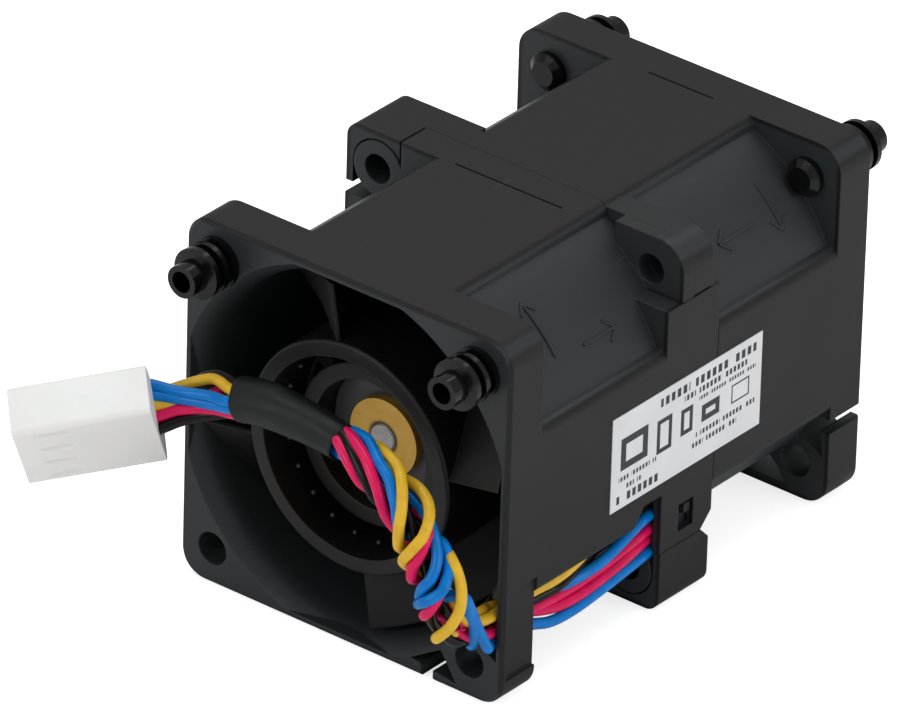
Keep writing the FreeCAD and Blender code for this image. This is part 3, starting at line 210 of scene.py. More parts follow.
BUNDLE_ROUTE = [
    (17.9, -28.0, 8.9),
    (17.9, -30.9, 8.9),
    (17.8, -33.3, 10.7),
    (17.0, -34.4, 13.7),
    (15.2, -34.2, 18.3),
    (11.9, -33.4, 22.6),
    (5.6, -32.4, 25.2),
    (-7.0, -32.4, 26.4),
    (-12.85, -32.96, 23.54),
    (-16.6, -36.1, 22.5),
]


def spline_points(route, spacing):
    """Points along the smooth line that the route controls, evenly read, in metres."""
    curve = bpy.data.curves.new("route_line", "CURVE")
    curve.dimensions = "3D"
    curve.resolution_u = 64
    line = curve.splines.new("NURBS")
    line.points.add(len(route) - 1)
    for control, place in zip(line.points, route):
        control.co = (*(Vector(place) * MM), 1.0)
    line.order_u = 3
    line.use_endpoint_u = True
    carrier = bpy.data.objects.new("route_line", curve)
    mesh = bpy.data.meshes.new_from_object(carrier)
    dense = [vertex.co.copy() for vertex in mesh.vertices]
    bpy.data.objects.remove(carrier)
    bpy.data.curves.remove(curve)
    bpy.data.meshes.remove(mesh)
    lengths = [0.0]
    for here, there in zip(dense, dense[1:]):
        lengths.append(lengths[-1] + (there - here).length)
    count = max(2, round(lengths[-1] / spacing))
    even = []
    index = 0
    for step in range(count + 1):
        target = lengths[-1] * step / count
        while index < len(lengths) - 2 and lengths[index + 1] < target:
            index += 1
        share = (target - lengths[index]) / max(lengths[index + 1] - lengths[index], 1e-12)
        even.append(dense[index].lerp(dense[index + 1], min(1.0, share)))
    return even


def steady_frames(points, first_side):
    """A pair of cross directions at each point, carried along without spinning."""
    frames = []
    side = Vector(first_side)
    for number, point in enumerate(points):
        before = points[max(number - 1, 0)]
        after = points[min(number + 1, len(points) - 1)]
        way = (after - before).normalized()
        side = (side - way * side.dot(way)).normalized()
        frames.append((side.copy(), way.cross(side).normalized()))
    return frames


def skin(builder, rings, endless=False, smooth=True, slot_number=0):
    """Joins rings of corners with faces. A row of rings is capped at both ends, an endless one isn't."""
    followers = rings[1:] + rings[:1] if endless else rings[1:]
    for first, second in zip(rings, followers):
        for corner in range(len(first)):
            other = (corner + 1) % len(first)
            face = builder.faces.new((first[corner], first[other], second[other], second[corner]))
            face.smooth = smooth
            face.material_index = slot_number
    if not endless:
        for cap in (rings[0][::-1], rings[-1]):
            builder.faces.new(cap).material_index = slot_number


def tube_along(builder, points, radius, slot_number, sides=14):
    """Adds a closed round tube along the points to a bmesh."""
    upright = abs((points[1] - points[0]).normalized().z) >= 0.9
    rings = []
    for point, (across, up) in zip(points, steady_frames(points, (1, 0, 0) if upright else (0, 0, 1))):
        ring = []
        for corner in range(sides):
            angle = 2 * math.pi * corner / sides
            place = point + across * (radius * math.cos(angle)) + up * (radius * math.sin(angle))
            ring.append(builder.verts.new(place))
        rings.append(ring)
    skin(builder, rings, slot_number=slot_number)


def finish_mesh(name, builder, materials):
    """Turns a bmesh into an object of the scene."""
    bmesh.ops.recalc_face_normals(builder, faces=builder.faces)
    mesh = bpy.data.meshes.new(name)
    builder.to_mesh(mesh)
    builder.free()
    for material in materials:
        mesh.materials.append(material)
    made = bpy.data.objects.new(name, mesh)
    scene.collection.objects.link(made)
    return made


def clouded_material(name, shades, cloud, rough, grain=None, spread=(0.3, 0.7), **constants):
    """A finish whose shade and gloss change slowly, over a fine grain.

    cloud is a noise's scale and detail. grain is another noise's scale and detail, then the
    strength and distance of its bump.
    """
    material, shader, tree = new_material(name, **constants)
    place = tree.node("ShaderNodeTexCoord", output=3)
    slow = tree.node("ShaderNodeTexNoise", None, {"Vector": place, "Scale": cloud[0], "Detail": cloud[1]})
    slow.between(*spread).mix(*shades).into(shader.inputs["Base Color"])
    slow.between(0.3, 0.7, *rough).into(shader.inputs["Roughness"])
    if grain:
        scale, detail, strength, distance = grain
        fine = tree.node("ShaderNodeTexNoise", None, {"Vector": place, "Scale": scale, "Detail": detail})
        relief = {"Height": fine, "Strength": strength, "Distance": distance}
        bump = tree.node("ShaderNodeBump", None, relief)
        bump.into(shader.inputs["Normal"])
    return material


def lead_material(name, colour):
    """Glossy extruded insulation, a little uneven in gloss and shade."""
    deep = tuple(channel * 0.82 for channel in colour[:3]) + (1.0,)
    return clouded_material(
        name, (deep, colour), (700.0, 3.0), (0.13, 0.22), (4000.0, 2.0, 0.08, 0.00002),
        spread=(0.35, 0.7), Specular_IOR_Level=0.22,
    )


lead_colours = {
    "yellow_insulation": srgb(232, 186, 52),
    "blue_insulation": srgb(0, 122, 208),
    "pink_insulation": srgb(226, 22, 92),
    "black_insulation": srgb(9, 9, 10),
}
lead_materials = [lead_material(name, colour) for name, colour in lead_colours.items()]
YELLOW, BLUE, PINK, BLACK = range(4)
LEAD_RADIUS = 0.57 * MM

# the bundle's front faces forwards, up and to the right; LEAD_TAIL is what enters flange and plug
BUNDLE_FRONT = Vector((0.5352, -0.6820, 0.4985))
LEAD_STEP = 0.25 * MM
LEAD_TAIL = 0.8 * MM
# a turn's longest step in degrees, and the shares of the way over which a lead leaves its exit
TURN_STEP = 25
EXIT_FADE = 0.12
LONG_EXIT_END, LONG_EXIT_FADE = 0.14, 0.06

# Each lead: its colour, its turns round the bundle's line as (share of the way, degrees, mm from
# the line), its fan to the connector as (share, mm to the side, mm outwards), and its way out of
# the flange as (share, x, y, z in mm). The angles start at the outer side and pass over the front.
bundle_leads = [
    (
        YELLOW,
        [(0.0, 690, 1.0), (0.11, 560, 1.5), (0.133, 503, 2.0), (0.140, 474, 1.9), (0.147, 444, 1.9),
         (0.166, 410, 2.42), (0.197, 392, 2.82), (0.23, 384, 2.8), (0.263, 375, 2.35), (0.28, 300, 1.8),
         (0.295, 225, 1.7), (0.312, 170, 2.1), (0.341, 136, 2.1), (0.374, 98, 2.0), (0.406, 65, 2.0),
         (0.441, 34, 2.0), (0.472, 24, 1.9), (0.50, 0, 1.7), (0.55, -40, 1.4), (0.58, -50, 1.15),
         (0.62, -60, 1.15), (0.72, -70, 1.3)],
        [(0.81, -0.3, -0.7), (0.90, 0.2, -0.4), (0.96, 0.6, 0.2), (1.0, 0.72, 0.5)],
        [(0.0, 17.3, -28.0, 10.1)],
    ),
    (
        YELLOW,
        [(0.0, 380, 1.4), (0.10, 370, 1.6), (0.15, 350, 1.6), (0.20, 300, 1.5), (0.25, 230, 1.6),
         (0.283, 165, 2.2), (0.296, 123, 2.2), (0.312, 82, 2.2), (0.338, 47, 2.25), (0.362, 22, 2.25),
         (0.387, 5, 2.1), (0.409, -15, 1.9), (0.44, -45, 1.7), (0.50, -75, 1.5), (0.58, -100, 1.15),
         (0.62, -110, 1.15), (0.72, -120, 1.3)],
        [(0.80, 0.4, 1.1), (0.82, 0.75, 1.0), (0.85, 1.7, 0.5), (0.88, 2.35, -0.1), (0.94, 2.2, -0.6),
         (1.0, 1.7, -0.7)],
        [(0.0, 18.4, -28.0, 9.9)],
    ),
    (
        BLUE,
        [(0.0, 720, 2.8), (0.12, 715, 2.8), (0.14, 700, 2.2), (0.165, 640, 1.5), (0.188, 560, 1.6),
         (0.197, 510, 2.1), (0.204, 465, 2.0), (0.214, 430, 2.1), (0.239, 392, 2.0), (0.266, 370, 2.1),
         (0.286, 362, 2.0), (0.305, 310, 1.7), (0.325, 230, 1.5), (0.345, 165, 1.5), (0.38, 122, 1.5),
         (0.428, 83, 1.6), (0.472, 63, 1.6), (0.521, 24, 1.75), (0.56, 0, 1.45), (0.58, -8, 1.15),
         (0.62, -25, 1.15), (0.72, -35, 1.3)],
        [(0.81, -0.2, 1.35), (0.88, 0.75, 1.2), (0.95, 1.7, 0.8), (1.0, 2.76, 0.5)],
        [(0.0, 16.4, -28.0, 7.0), (0.03, 17.2, -29.3, 6.9), (0.06, 18.2, -30.2, 8.4),
         (0.09, 18.8, -31.0, 10.6), (0.12, 18.9, -32.0, 12.3), (0.15, 18.9, -32.7, 14.3),
         (0.18, 18.8, -33.1, 15.8)],
    ),
    (
        BLUE,
        [(0.0, 720, 2.2), (0.12, 715, 2.2), (0.14, 690, 1.8), (0.17, 620, 1.5), (0.20, 540, 1.5),
         (0.225, 486, 1.6), (0.238, 452, 1.6), (0.263, 416, 1.6), (0.29, 396, 1.6), (0.318, 385, 1.6),
         (0.38, 325, 1.3), (0.45, 270, 1.3), (0.52, 235, 1.2), (0.62, 200, 1.2), (0.72, 190, 1.2)],
        [(0.81, -0.95, 1.05), (0.86, -0.35, 1.1), (0.91, 0.4, 0.95), (1.0, 1.72, 0.5)],
        [(0.0, 18.3, -28.0, 6.95), (0.02, 18.8, -28.7, 6.9), (0.05, 18.9, -29.5, 8.1),
         (0.08, 18.9, -30.6, 10.1), (0.11, 18.9, -31.5, 12.1), (0.14, 18.8, -32.2, 13.7),
         (0.17, 18.7, -32.8, 15.1)],
    ),
    (
        PINK,
        [(0.0, 720, 1.3), (0.12, 700, 1.3), (0.19, 640, 1.4), (0.228, 588, 1.8), (0.243, 535, 1.8),
         (0.263, 512, 1.7), (0.285, 465, 1.5), (0.31, 420, 1.5), (0.33, 370, 1.4), (0.37, 290, 1.4),
         (0.44, 205, 1.6), (0.479, 167, 1.95), (0.526, 126, 1.7), (0.56, 96, 1.45), (0.58, 85, 1.15),
         (0.62, 70, 1.15), (0.72, 60, 1.3)],
        [(0.81, -1.45, 0.4), (0.883, -0.55, 0.55), (0.954, -0.1, 0.6), (1.0, -0.4, 0.5)],
        [(0.0, 17.2, -28.0, 8.85)],
    ),
    (
        PINK,
        [(0.0, 660, 1.4), (0.10, 650, 1.4), (0.14, 600, 1.5), (0.165, 545, 1.7), (0.178, 500, 1.7),
         (0.195, 458, 1.5), (0.217, 416, 1.4), (0.245, 350, 1.4), (0.29, 270, 1.4), (0.349, 205, 1.9),
         (0.382, 178, 2.0), (0.437, 130, 1.7), (0.487, 90, 1.7), (0.528, 64, 1.7), (0.56, 44, 1.45),
         (0.58, 32, 1.15), (0.62, 10, 1.15), (0.72, 0, 1.3)],
        [(0.80, 1.7, -0.2), (0.84, 1.5, -0.8), (0.90, 0.8, -1.1), (1.0, -0.4, -0.7)],
        [(0.0, 18.4, -28.0, 8.1)],
    ),
    (
        BLACK,
        [(0.0, 620, 1.2), (0.13, 560, 1.2), (0.20, 480, 1.3), (0.26, 400, 0.9), (0.30, 330, 1.2),
         (0.37, 250, 1.3), (0.43, 178, 1.9), (0.505, 115, 1.5), (0.565, 60, 1.35), (0.62, 35, 1.2),
         (0.72, 30, 1.2)],
        [(0.80, 1.1, 0.7), (0.815, 1.4, 0.5), (0.84, 2.1, 0.0), (0.873, 2.65, -0.5), (0.92, 2.2, -1.1),
         (1.0, -1.5, -0.7)],
        [(0.0, 17.35, -28.0, 7.75)],
    ),
    (
        BLACK,
        [(0.0, 330, 0.8), (0.12, 320, 0.8), (0.20, 270, 0.4), (0.40, 90, 0.3), (0.62, 0, 0.3),
         (0.72, -30, 0.3)],
        [(0.81, -1.3, -0.5), (0.873, -1.1, 0.1), (0.948, -1.1, 0.4), (1.0, -1.6, 0.5)],
        [(0.0, 16.4, -28.0, 9.2)],
    ),
]
path = spline_points(BUNDLE_ROUTE, LEAD_STEP)
bundle_frames = steady_frames(path, (1, 0, 0))
bundle_builder = bmesh.new()
last = len(path) - 1


def smooth_step(value):
    """0 below 0 and 1 above 1, with an easy change between."""
    value = min(1.0, max(0.0, value))
    return value * value * (3 - 2 * value)


def fan_stations(turns, fan):
    """A lead's stations as (share, Vector of side and front): its turns in short steps, then its fan."""
    places = []
    for (share, angle, reach), (next_share, next_angle, next_reach) in zip(turns, turns[1:]):
        steps = max(1, round(abs(next_angle - angle) / TURN_STEP))
        for step in range(steps):
            part = step / steps
            turned = math.radians(angle + (next_angle - angle) * part)
            size = reach + (next_reach - reach) * part
            place = Vector((math.cos(turned), math.sin(turned))) * size
            places.append((share + (next_share - share) * part, place))
    return places + [(share, Vector(place)) for share, *place in fan]


def smooth_place(stations, share):
    """The place at a share of the way, on a smooth line through the stations."""
    final = len(stations) - 1
    after = next((number for number, station in enumerate(stations) if station[0] > share), final)
    after = max(after, 1)
    ends = [stations[min(max(number, 0), final)] for number in range(after - 2, after + 2)]
    (s0, p0), (s1, p1), (s2, p2), (s3, p3) = ends
    gap = s2 - s1
    part = min(1.0, max(0.0, (share - s1) / gap))
    slope_1 = (p2 - p0) * (gap / max(s2 - s0, 1e-6))
    slope_2 = (p3 - p1) * (gap / max(s3 - s1, 1e-6))
    square, cube = part * part, part ** 3
    return (
        p1 * (2 * cube - 3 * square + 1) + slope_1 * (cube - 2 * square + part)
        + p2 * (3 * square - 2 * cube) + slope_2 * (cube - square)
    )


for colour, turns, fan, exit_way in bundle_leads:
    stations = fan_stations(turns, fan)
    exits = [(share, Vector(place) * MM) for share, *place in exit_way]
    lead_points = []
    for number, point in enumerate(path):
        share = number / last
        way = (path[min(number + 1, last)] - path[max(number - 1, 0)]).normalized()
        front = (BUNDLE_FRONT - way * BUNDLE_FRONT.dot(way)).normalized()
        place = smooth_place(stations, share) * MM
        twisted = way.cross(front) * place.x + front * place.y
        if len(exits) == 1:
            exit_offset = exits[0][1] - path[0]
            near_flange = 1 - smooth_step(share / EXIT_FADE)
        else:
            exit_offset = smooth_place(exits, min(share, exits[-1][0])) - point
            near_flange = 1 - smooth_step((share - LONG_EXIT_END) / LONG_EXIT_FADE)
        lead_points.append(point + twisted.lerp(exit_offset, near_flange))
    lead_points.insert(0, lead_points[0] + Vector((0, LEAD_TAIL, 0)))
    lead_points.append(lead_points[-1] + (path[-1] - path[-2]).normalized() * LEAD_TAIL)
    tube_along(bundle_builder, lead_points, LEAD_RADIUS, colour)
lead_bundle = finish_mesh("lead_bundle_wires", bundle_builder, lead_materials)
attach(lead_bundle, "root")
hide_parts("lead_bundle")

# ---- shrunk sleeve ----
# A short length of black heat-shrink tubing round the end of the bundle. It is drawn tight on the
# leads, so it is a little lumpy, and it widens towards the connector, where they spread.

SLEEVE_START, SLEEVE_END = 0.570, 0.812
SLEEVE_NARROW, SLEEVE_WIDE = 1.90 * MM, 2.30 * MM
SLEEVE_WALL = 0.2 * MM
SLEEVE_SIDES = 40

sleeve_material = clouded_material(
    "shrunk_tubing", (srgb(9, 12, 12), srgb(17, 20, 19)), (420.0, 4.0), (0.42, 0.58),
    (420.0, 4.0, 0.25, 0.0001), Specular_IOR_Level=0.3,
)

sleeve_first, sleeve_last = round(last * SLEEVE_START), round(last * SLEEVE_END)
sleeve_points = path[sleeve_first:sleeve_last + 1]
way_on = range(len(sleeve_points))
sleeve_builder = bmesh.new()
rows = []
for wall, stations in ((0, way_on), (SLEEVE_WALL, reversed(way_on))):
    for station in stations:
        across, up = bundle_frames[sleeve_first + station]
        size = SLEEVE_NARROW + (SLEEVE_WIDE - SLEEVE_NARROW) * smooth_step(station / len(sleeve_points))
        ring = []
        for corner in range(SLEEVE_SIDES):
            angle = 2 * math.pi * corner / SLEEVE_SIDES
            coarse_lumps = 0.02 * math.cos(4 * angle + station * 0.13)
            fine_lumps = 0.012 * math.cos(7 * angle - station * 0.08)
            reach = size * (1 + coarse_lumps + fine_lumps) - wall
            offset = across * (reach * math.cos(angle)) + up * (reach * math.sin(angle))
            ring.append(sleeve_builder.verts.new(sleeve_points[station] + offset))
        rows.append(ring)
skin(sleeve_builder, rows, endless=True)
sleeve = finish_mesh("shrink_sleeve_tube", sleeve_builder, [sleeve_material])
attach(sleeve, "root")
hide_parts("shrink_sleeve")

# ---- connector ----
# White nylon housing with four contact cavities, moulded in one with soft edges and a short
# relief groove over each cavity, and tin-plated crimp contacts inside.

CONNECTOR_SIZE = Vector((13.6, 10.2, 5.4)) * MM
CONTACT_PITCH = 2.54 * MM
CONTACT_COUNT = 4
CAVITY_SIZE = Vector((11.5, 1.84, 2.7)) * MM
GROOVE_SIZE = Vector((1.7, 0.42, 0.42)) * MM
GROOVE_MIDDLE = 3.7 * MM
LONG_EDGE_ROUND = 0.7 * MM
END_EDGE_ROUND = 0.15 * MM
connector_turn = (
    Matrix.Rotation(math.radians(40), 3, "Z")
    @ Matrix.Rotation(math.radians(-12), 3, "Y")
    @ Matrix.Rotation(math.radians(-60), 3, "X")
)
mating_face = path[-1] - connector_turn.col[0] * CONNECTOR_SIZE.x
connector_place = Matrix.Translation(mating_face) @ connector_turn.to_4x4()

nylon = clouded_material(
    "white_nylon", (srgb(233, 233, 232), srgb(238, 238, 237)), (150.0, 3.0), (0.48, 0.58),
    (2600.0, 2.0, 0.06, 0.00003), Subsurface_Weight=0.1, Subsurface_Scale=0.001,
)

cutter_builder = bmesh.new()
for number in range(CONTACT_COUNT):
    across = CONTACT_PITCH * (number - (CONTACT_COUNT - 1) / 2)
    box = bmesh.ops.create_cube(cutter_builder, size=1.0)["verts"]
    bmesh.ops.scale(cutter_builder, verts=box, vec=(CAVITY_SIZE.x * 2, CAVITY_SIZE.y, CAVITY_SIZE.z))
    bmesh.ops.translate(cutter_builder, verts=box, vec=(0, across, 0))
    ball = bmesh.ops.create_uvsphere(cutter_builder, u_segments=24, v_segments=16, radius=1.0)["verts"]
    bmesh.ops.scale(cutter_builder, verts=ball, vec=GROOVE_SIZE)
    bmesh.ops.translate(cutter_builder, verts=ball, vec=(GROOVE_MIDDLE, across, -CONNECTOR_SIZE.z / 2))
cutter = finish_mesh("connector_cutter", cutter_builder, [])

housing_builder = bmesh.new()
bmesh.ops.create_cube(housing_builder, size=1.0)
bmesh.ops.scale(housing_builder, verts=housing_builder.verts, vec=CONNECTOR_SIZE)
bmesh.ops.translate(housing_builder, verts=housing_builder.verts, vec=(CONNECTOR_SIZE.x / 2, 0, 0))


def edge_run(edge):
    """How far an edge runs along the connector."""
    return abs(edge.verts[0].co.x - edge.verts[1].co.x)


long_edges = [edge for edge in housing_builder.edges if edge_run(edge) > MM]
bmesh.ops.bevel(
    housing_builder, geom=long_edges, offset=LONG_EDGE_ROUND, segments=6, profile=0.5, affect="EDGES"
)
end_edges = [
    edge for edge in housing_builder.edges
    if edge_run(edge) < 1e-6 and edge.calc_face_angle(0) > math.radians(50)
]
bmesh.ops.bevel(
    housing_builder, geom=end_edges, offset=END_EDGE_ROUND, segments=2, profile=0.5, affect="EDGES"
)
housing_shell = finish_mesh("connector_shell", housing_builder, [nylon])
hollow = housing_shell.modifiers.new("hollow", "BOOLEAN")
hollow.operation = "DIFFERENCE"
hollow.object = cutter
hollow.solver = "EXACT"
bpy.context.view_layer.update()
evaluated = housing_shell.evaluated_get(bpy.context.evaluated_depsgraph_get())
hollowed = bpy.data.meshes.new_from_object(evaluated)
housing_shell.modifiers.clear()
housing_shell.data = hollowed
bpy.data.objects.remove(cutter)
hollowed.materials.clear()
hollowed.materials.append(nylon)
hollowed.transform(connector_place)
hollowed.shade_smooth()
hollowed.set_sharp_from_angle(angle=math.radians(35))
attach(housing_shell, "root")
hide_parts("connector_housing")


def dress_node(name, material):
    """Gives a node of the frame one material."""
    nodes[name].data.materials.clear()
    nodes[name].data.materials.append(material)


tin = clouded_material(
    "tin_plate", (srgb(176, 172, 160), srgb(214, 210, 198)), (1500.0, 3.0), (0.28, 0.42), Metallic=1.0
)
dress_node("connector_contacts", tin)

# ---- moulded frames ----
# Both halves of the housing are glass-filled black plastic: finely textured flats and flanges,
# smoother corner surfaces made paler by a painted sheen, and edges a little rounded by the mould.

HALF_SIDE = 20.0 * MM
AXIS_HEIGHT = 20.0 * MM
MOULD_EDGE = 0.22 * MM
FLAT_INSET, CORNER_INSET = 0.3 * MM, 0.6 * MM


def black_plastic(name, dark, light, gloss, painted_sheen=None):
    """Black moulding with a fine spark-eroded grain, slow changes in gloss, scuffs, and, where given, a
    painted sheen that makes the corner surfaces paler.
    """
    material, shader, tree = new_material(name, Specular_IOR_Level=0.3)
    place = tree.node("ShaderNodeTexCoord", output=3)
    slow = tree.node("ShaderNodeTexNoise", None, {"Vector": place, "Scale": 60.0, "Detail": 5.0})
    grain = tree.node("ShaderNodeTexNoise", None, {"Vector": place, "Scale": 5200.0, "Detail": 2.0})
    scratched = tree.node("ShaderNodeMapping", None, {"Vector": place, "Scale": (900.0, 120.0, 900.0)})
    scratch = tree.node("ShaderNodeTexNoise", None, {"Vector": scratched, "Scale": 1.0, "Detail": 3.0})
    scuff = scratch.between(0.66, 0.74) * slow.between(0.5, 0.6)
    colour = slow.between(0.35, 0.68).mix(dark, light)
    rough = slow.between(0.3, 0.7, gloss, gloss + 0.1)
    if painted_sheen:
        # The flats and flanges lie at the square's sides; the corner surfaces lie inside it. There a
        # painted sheen makes the colour paler, and the roughness is a little lower.
        across = tree.node("ShaderNodeSeparateXYZ", None, {"Vector": place}, output=0)
        height = tree.node("ShaderNodeSeparateXYZ", None, {"Vector": place}, output=2)
        aside, above = across.math("ABSOLUTE", across), height.math("ABSOLUTE", height - AXIS_HEIGHT)
        outward = aside.math("MAXIMUM", aside, above)
        inward = outward.between(HALF_SIDE - CORNER_INSET, HALF_SIDE - FLAT_INSET, 1.0, 0.0)
        colour = (inward * 0.9).mix(colour, painted_sheen)
        rough = rough - inward * 0.10
    colour = (scuff * 0.35).mix(colour, srgb(70, 72, 72))
    colour.into(shader.inputs["Base Color"])
    rough.into(shader.inputs["Roughness"])
    edge = tree.node("ShaderNodeBevel", {"samples": 6}, {"Radius": MOULD_EDGE})
    relief = {"Height": grain, "Strength": 0.16, "Distance": 0.00003, "Normal": edge}
    bump = tree.node("ShaderNodeBump", None, relief)
    bump.into(shader.inputs["Normal"])
    return material


housing_plastic = black_plastic(
    # the last colour is the painted sheen of the corner surfaces
    "housing_plastic", srgb(14, 14, 15), srgb(21, 21, 22), 0.48, painted_sheen=srgb(44, 48, 49)
)
impeller_plastic = black_plastic("impeller_plastic", srgb(10, 10, 11), srgb(17, 17, 18), 0.38)

for name in ("front_frame", "rear_frame"):
    dress_node(name, housing_plastic)
for name in ("front_impeller", "rear_impeller"):
    dress_node(name, impeller_plastic)

# ---- moulded arrows ----
# Low arrows moulded on the round corner surfaces: one for the impeller's turn and one along the
# air's way. Each line follows the corner's radius and stands a little proud of it. A barb goes back
# from the tip and aside: mm then degrees on an arrow along the fan, degrees then mm on the other.

CORNER_RADIUS = 20.8 * MM
ARROW_LINE = 0.34 * MM
ARROW_RISE = 0.16 * MM
ARROW_ROOT = -0.1 * MM
ARROW_STEP = 0.5 * MM
BARB_ALONG = (1.2, 3.0)
BARB_AROUND = (3.4, 1.0)


def corner_point(length, angle, radius):
    """A point on the round corner, from its place along the fan and its angle from the side."""
    turned = math.radians(angle)
    return Vector((radius * math.cos(turned), length * MM, AXIS_HEIGHT + radius * math.sin(turned)))


def add_ribbon(builder, start, end):
    """A low closed ridge on the corner from one (length, angle) to another."""
    degree = CORNER_RADIUS * math.pi / 180
    along, around = (end[0] - start[0]) * MM, (end[1] - start[1]) * degree
    reach = math.hypot(along, around)
    side = (-around / reach * ARROW_LINE / 2 / MM, along / reach * ARROW_LINE / 2 / degree)
    steps = max(2, round(reach / ARROW_STEP))
    rings = []
    for step in range(steps + 1):
        middle = [start[axis] + (end[axis] - start[axis]) * step / steps for axis in (0, 1)]
        ring = []
        for way, rise in ((-1, ARROW_ROOT), (-0.7, ARROW_RISE), (0.7, ARROW_RISE), (1, ARROW_ROOT)):
            place = corner_point(middle[0] + side[0] * way, middle[1] + side[1] * way, CORNER_RADIUS + rise)
            ring.append(builder.verts.new(place))
        rings.append(ring)
    skin(builder, rings, smooth=False)


# each arrow: its tail and its tip, as length along the fan in mm and angle in degrees
for half, arrows in (
    ("front", [((-16.6, 38.0), (-16.6, 55.0)), ((-12.6, 37.0), (-7.8, 37.0))]),
    ("rear", [((15.2, 41.5), (9.6, 41.5)), ((18.2, 50.0), (18.2, 36.0))]),
):
    arrow_builder = bmesh.new()
    for tail, tip in arrows:
        add_ribbon(arrow_builder, tail, tip)
        along_fan = tail[1] == tip[1]
        way = math.copysign(1.0, tip[0] - tail[0] if along_fan else tip[1] - tail[1])
        back, aside = BARB_ALONG if along_fan else BARB_AROUND
        for side in (-1, 1):
            if along_fan:
                barb = (tip[0] - way * back, tip[1] + side * aside)
            else:
                barb = (tip[0] + side * aside, tip[1] - way * back)
            add_ribbon(arrow_builder, tip, barb)
    arrow = finish_mesh(f"{half}_corner_arrows", arrow_builder, [housing_plastic])
    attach(arrow, "root")

# ---- leads in the corner ----
# The same eight leads, lying side by side in the corner from behind the strap to the opening in
# the front flange, where the free bundle begins. The last of them lie behind the others.

# each lead: its colour, and its stations as (y, z, x) in mm from the strap to the flange
corner_leads = [
    (
        BLUE,
        [(-1.2, 10.6, 18.2), (-4.1, 10.6, 18.6), (-6.2, 10.5, 18.9), (-9.1, 9.9, 19.2),
         (-12.1, 9.2, 19.3), (-15.2, 8.9, 19.1), (-18.5, 8.4, 18.2), (-23.0, 7.4, 16.8),
         (-28.0, 7.0, 16.4)],
    ),
    (
        PINK,
        [(-1.2, 9.0, 18.0), (-3.9, 8.9, 18.5), (-7.5, 8.5, 18.6), (-11.0, 8.15, 18.7), (-14.5, 7.9, 18.7),
         (-18.2, 7.95, 18.7), (-20.6, 8.0, 18.5), (-24.0, 8.1, 18.4), (-28.0, 8.1, 18.4)],
    ),
    (
        PINK,
        [(-1.2, 7.8, 17.8), (-4.0, 7.7, 18.3), (-8.0, 7.5, 18.9), (-12.0, 7.15, 19.1),
         (-15.1, 6.85, 19.1), (-18.2, 6.85, 18.9), (-20.6, 7.3, 18.4), (-24.0, 8.4, 17.6),
         (-28.0, 8.85, 17.2)],
    ),
    (
        BLUE,
        [(-1.2, 6.4, 18.0), (-3.9, 6.4, 18.6), (-7.4, 6.5, 19.1), (-10.5, 6.35, 19.3),
         (-13.5, 6.05, 19.35), (-16.6, 5.75, 19.3), (-19.6, 5.7, 19.0), (-21.4, 6.2, 18.4),
         (-24.0, 6.9, 18.3), (-28.0, 6.95, 18.3)],
    ),
    (
        YELLOW,
        [(-1.2, 9.8, 17.0), (-5.0, 10.2, 17.2), (-10.0, 10.9, 17.8), (-14.0, 10.9, 18.7),
         (-17.0, 10.5, 19.1), (-19.6, 10.1, 18.9), (-21.6, 10.0, 18.4), (-28.0, 9.9, 18.4)],
    ),
    (
        BLACK,
        [(-1.2, 7.4, 17.0), (-6.0, 8.2, 17.2), (-11.0, 9.3, 17.7), (-15.5, 9.5, 18.6), (-18.3, 9.1, 18.9),
         (-20.6, 8.9, 18.4), (-25.0, 8.1, 17.4), (-28.0, 7.75, 17.35)],
    ),
    (
        YELLOW,
        [(-1.2, 7.0, 16.6), (-8.0, 7.8, 17.0), (-16.0, 8.4, 17.3), (-24.0, 9.8, 17.3),
         (-28.0, 10.1, 17.3)],
    ),
    (
        BLACK,
        [(-1.2, 6.2, 16.8), (-8.0, 6.6, 17.2), (-16.0, 7.2, 17.2), (-24.0, 8.8, 16.5),
         (-28.0, 9.2, 16.4)],
    ),
]
corner_builder = bmesh.new()
for colour, stations in corner_leads:
    line = spline_points([(x, y, z) for y, z, x in stations], 0.5 * MM)
    tube_along(corner_builder, line, LEAD_RADIUS, colour, sides=12)
corner_wires = finish_mesh("corner_lead_wires", corner_builder, lead_materials)
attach(corner_wires, "root")
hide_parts("lead_run")

# ---- rotor parts ----
# A turned brass bush is riveted through a pressed steel yoke, round a ground steel shaft. The
# motor's inner parts hardly show, and each has the plain finish of what it is made of.

# the radii over which the painted shade of the gap round the shaft fades out
GAP_SHADE_RADII = (1.55 * MM, 1.95 * MM)
TURNING_MARKS = 26000.0


def plain_material(name, dark, light, scale, rough, bump_strength=0.1, **constants):
    """The clouded finish with settings that suit most metals and plastics."""
    grain = (scale * 9, 2.0, bump_strength, 0.00003)
    shades = (srgb(*dark), srgb(*light))
    return clouded_material(name, shades, (scale, 4.0), rough, grain, spread=(0.32, 0.68), **constants)


brass, brass_shader, tree = new_material("turned_brass", Metallic=0.6)
place = tree.node("ShaderNodeTexCoord", output=3)
centred = tree.node("ShaderNodeVectorMath", {"operation": "SUBTRACT"}, {0: place, 1: (0, 0, AXIS_HEIGHT)})
flat = tree.node("ShaderNodeVectorMath", {"operation": "MULTIPLY"}, {0: centred, 1: (1.0, 0.0, 1.0)})
radius = tree.node("ShaderNodeVectorMath", {"operation": "LENGTH"}, {0: flat}, output=1)
cloud = tree.node("ShaderNodeTexNoise", None, {"Vector": place, "Scale": 500.0, "Detail": 4.0})
rings = radius.math("SINE", radius * TURNING_MARKS)
polished = cloud.between(0.32, 0.68).mix(srgb(190, 148, 62), srgb(206, 166, 82))
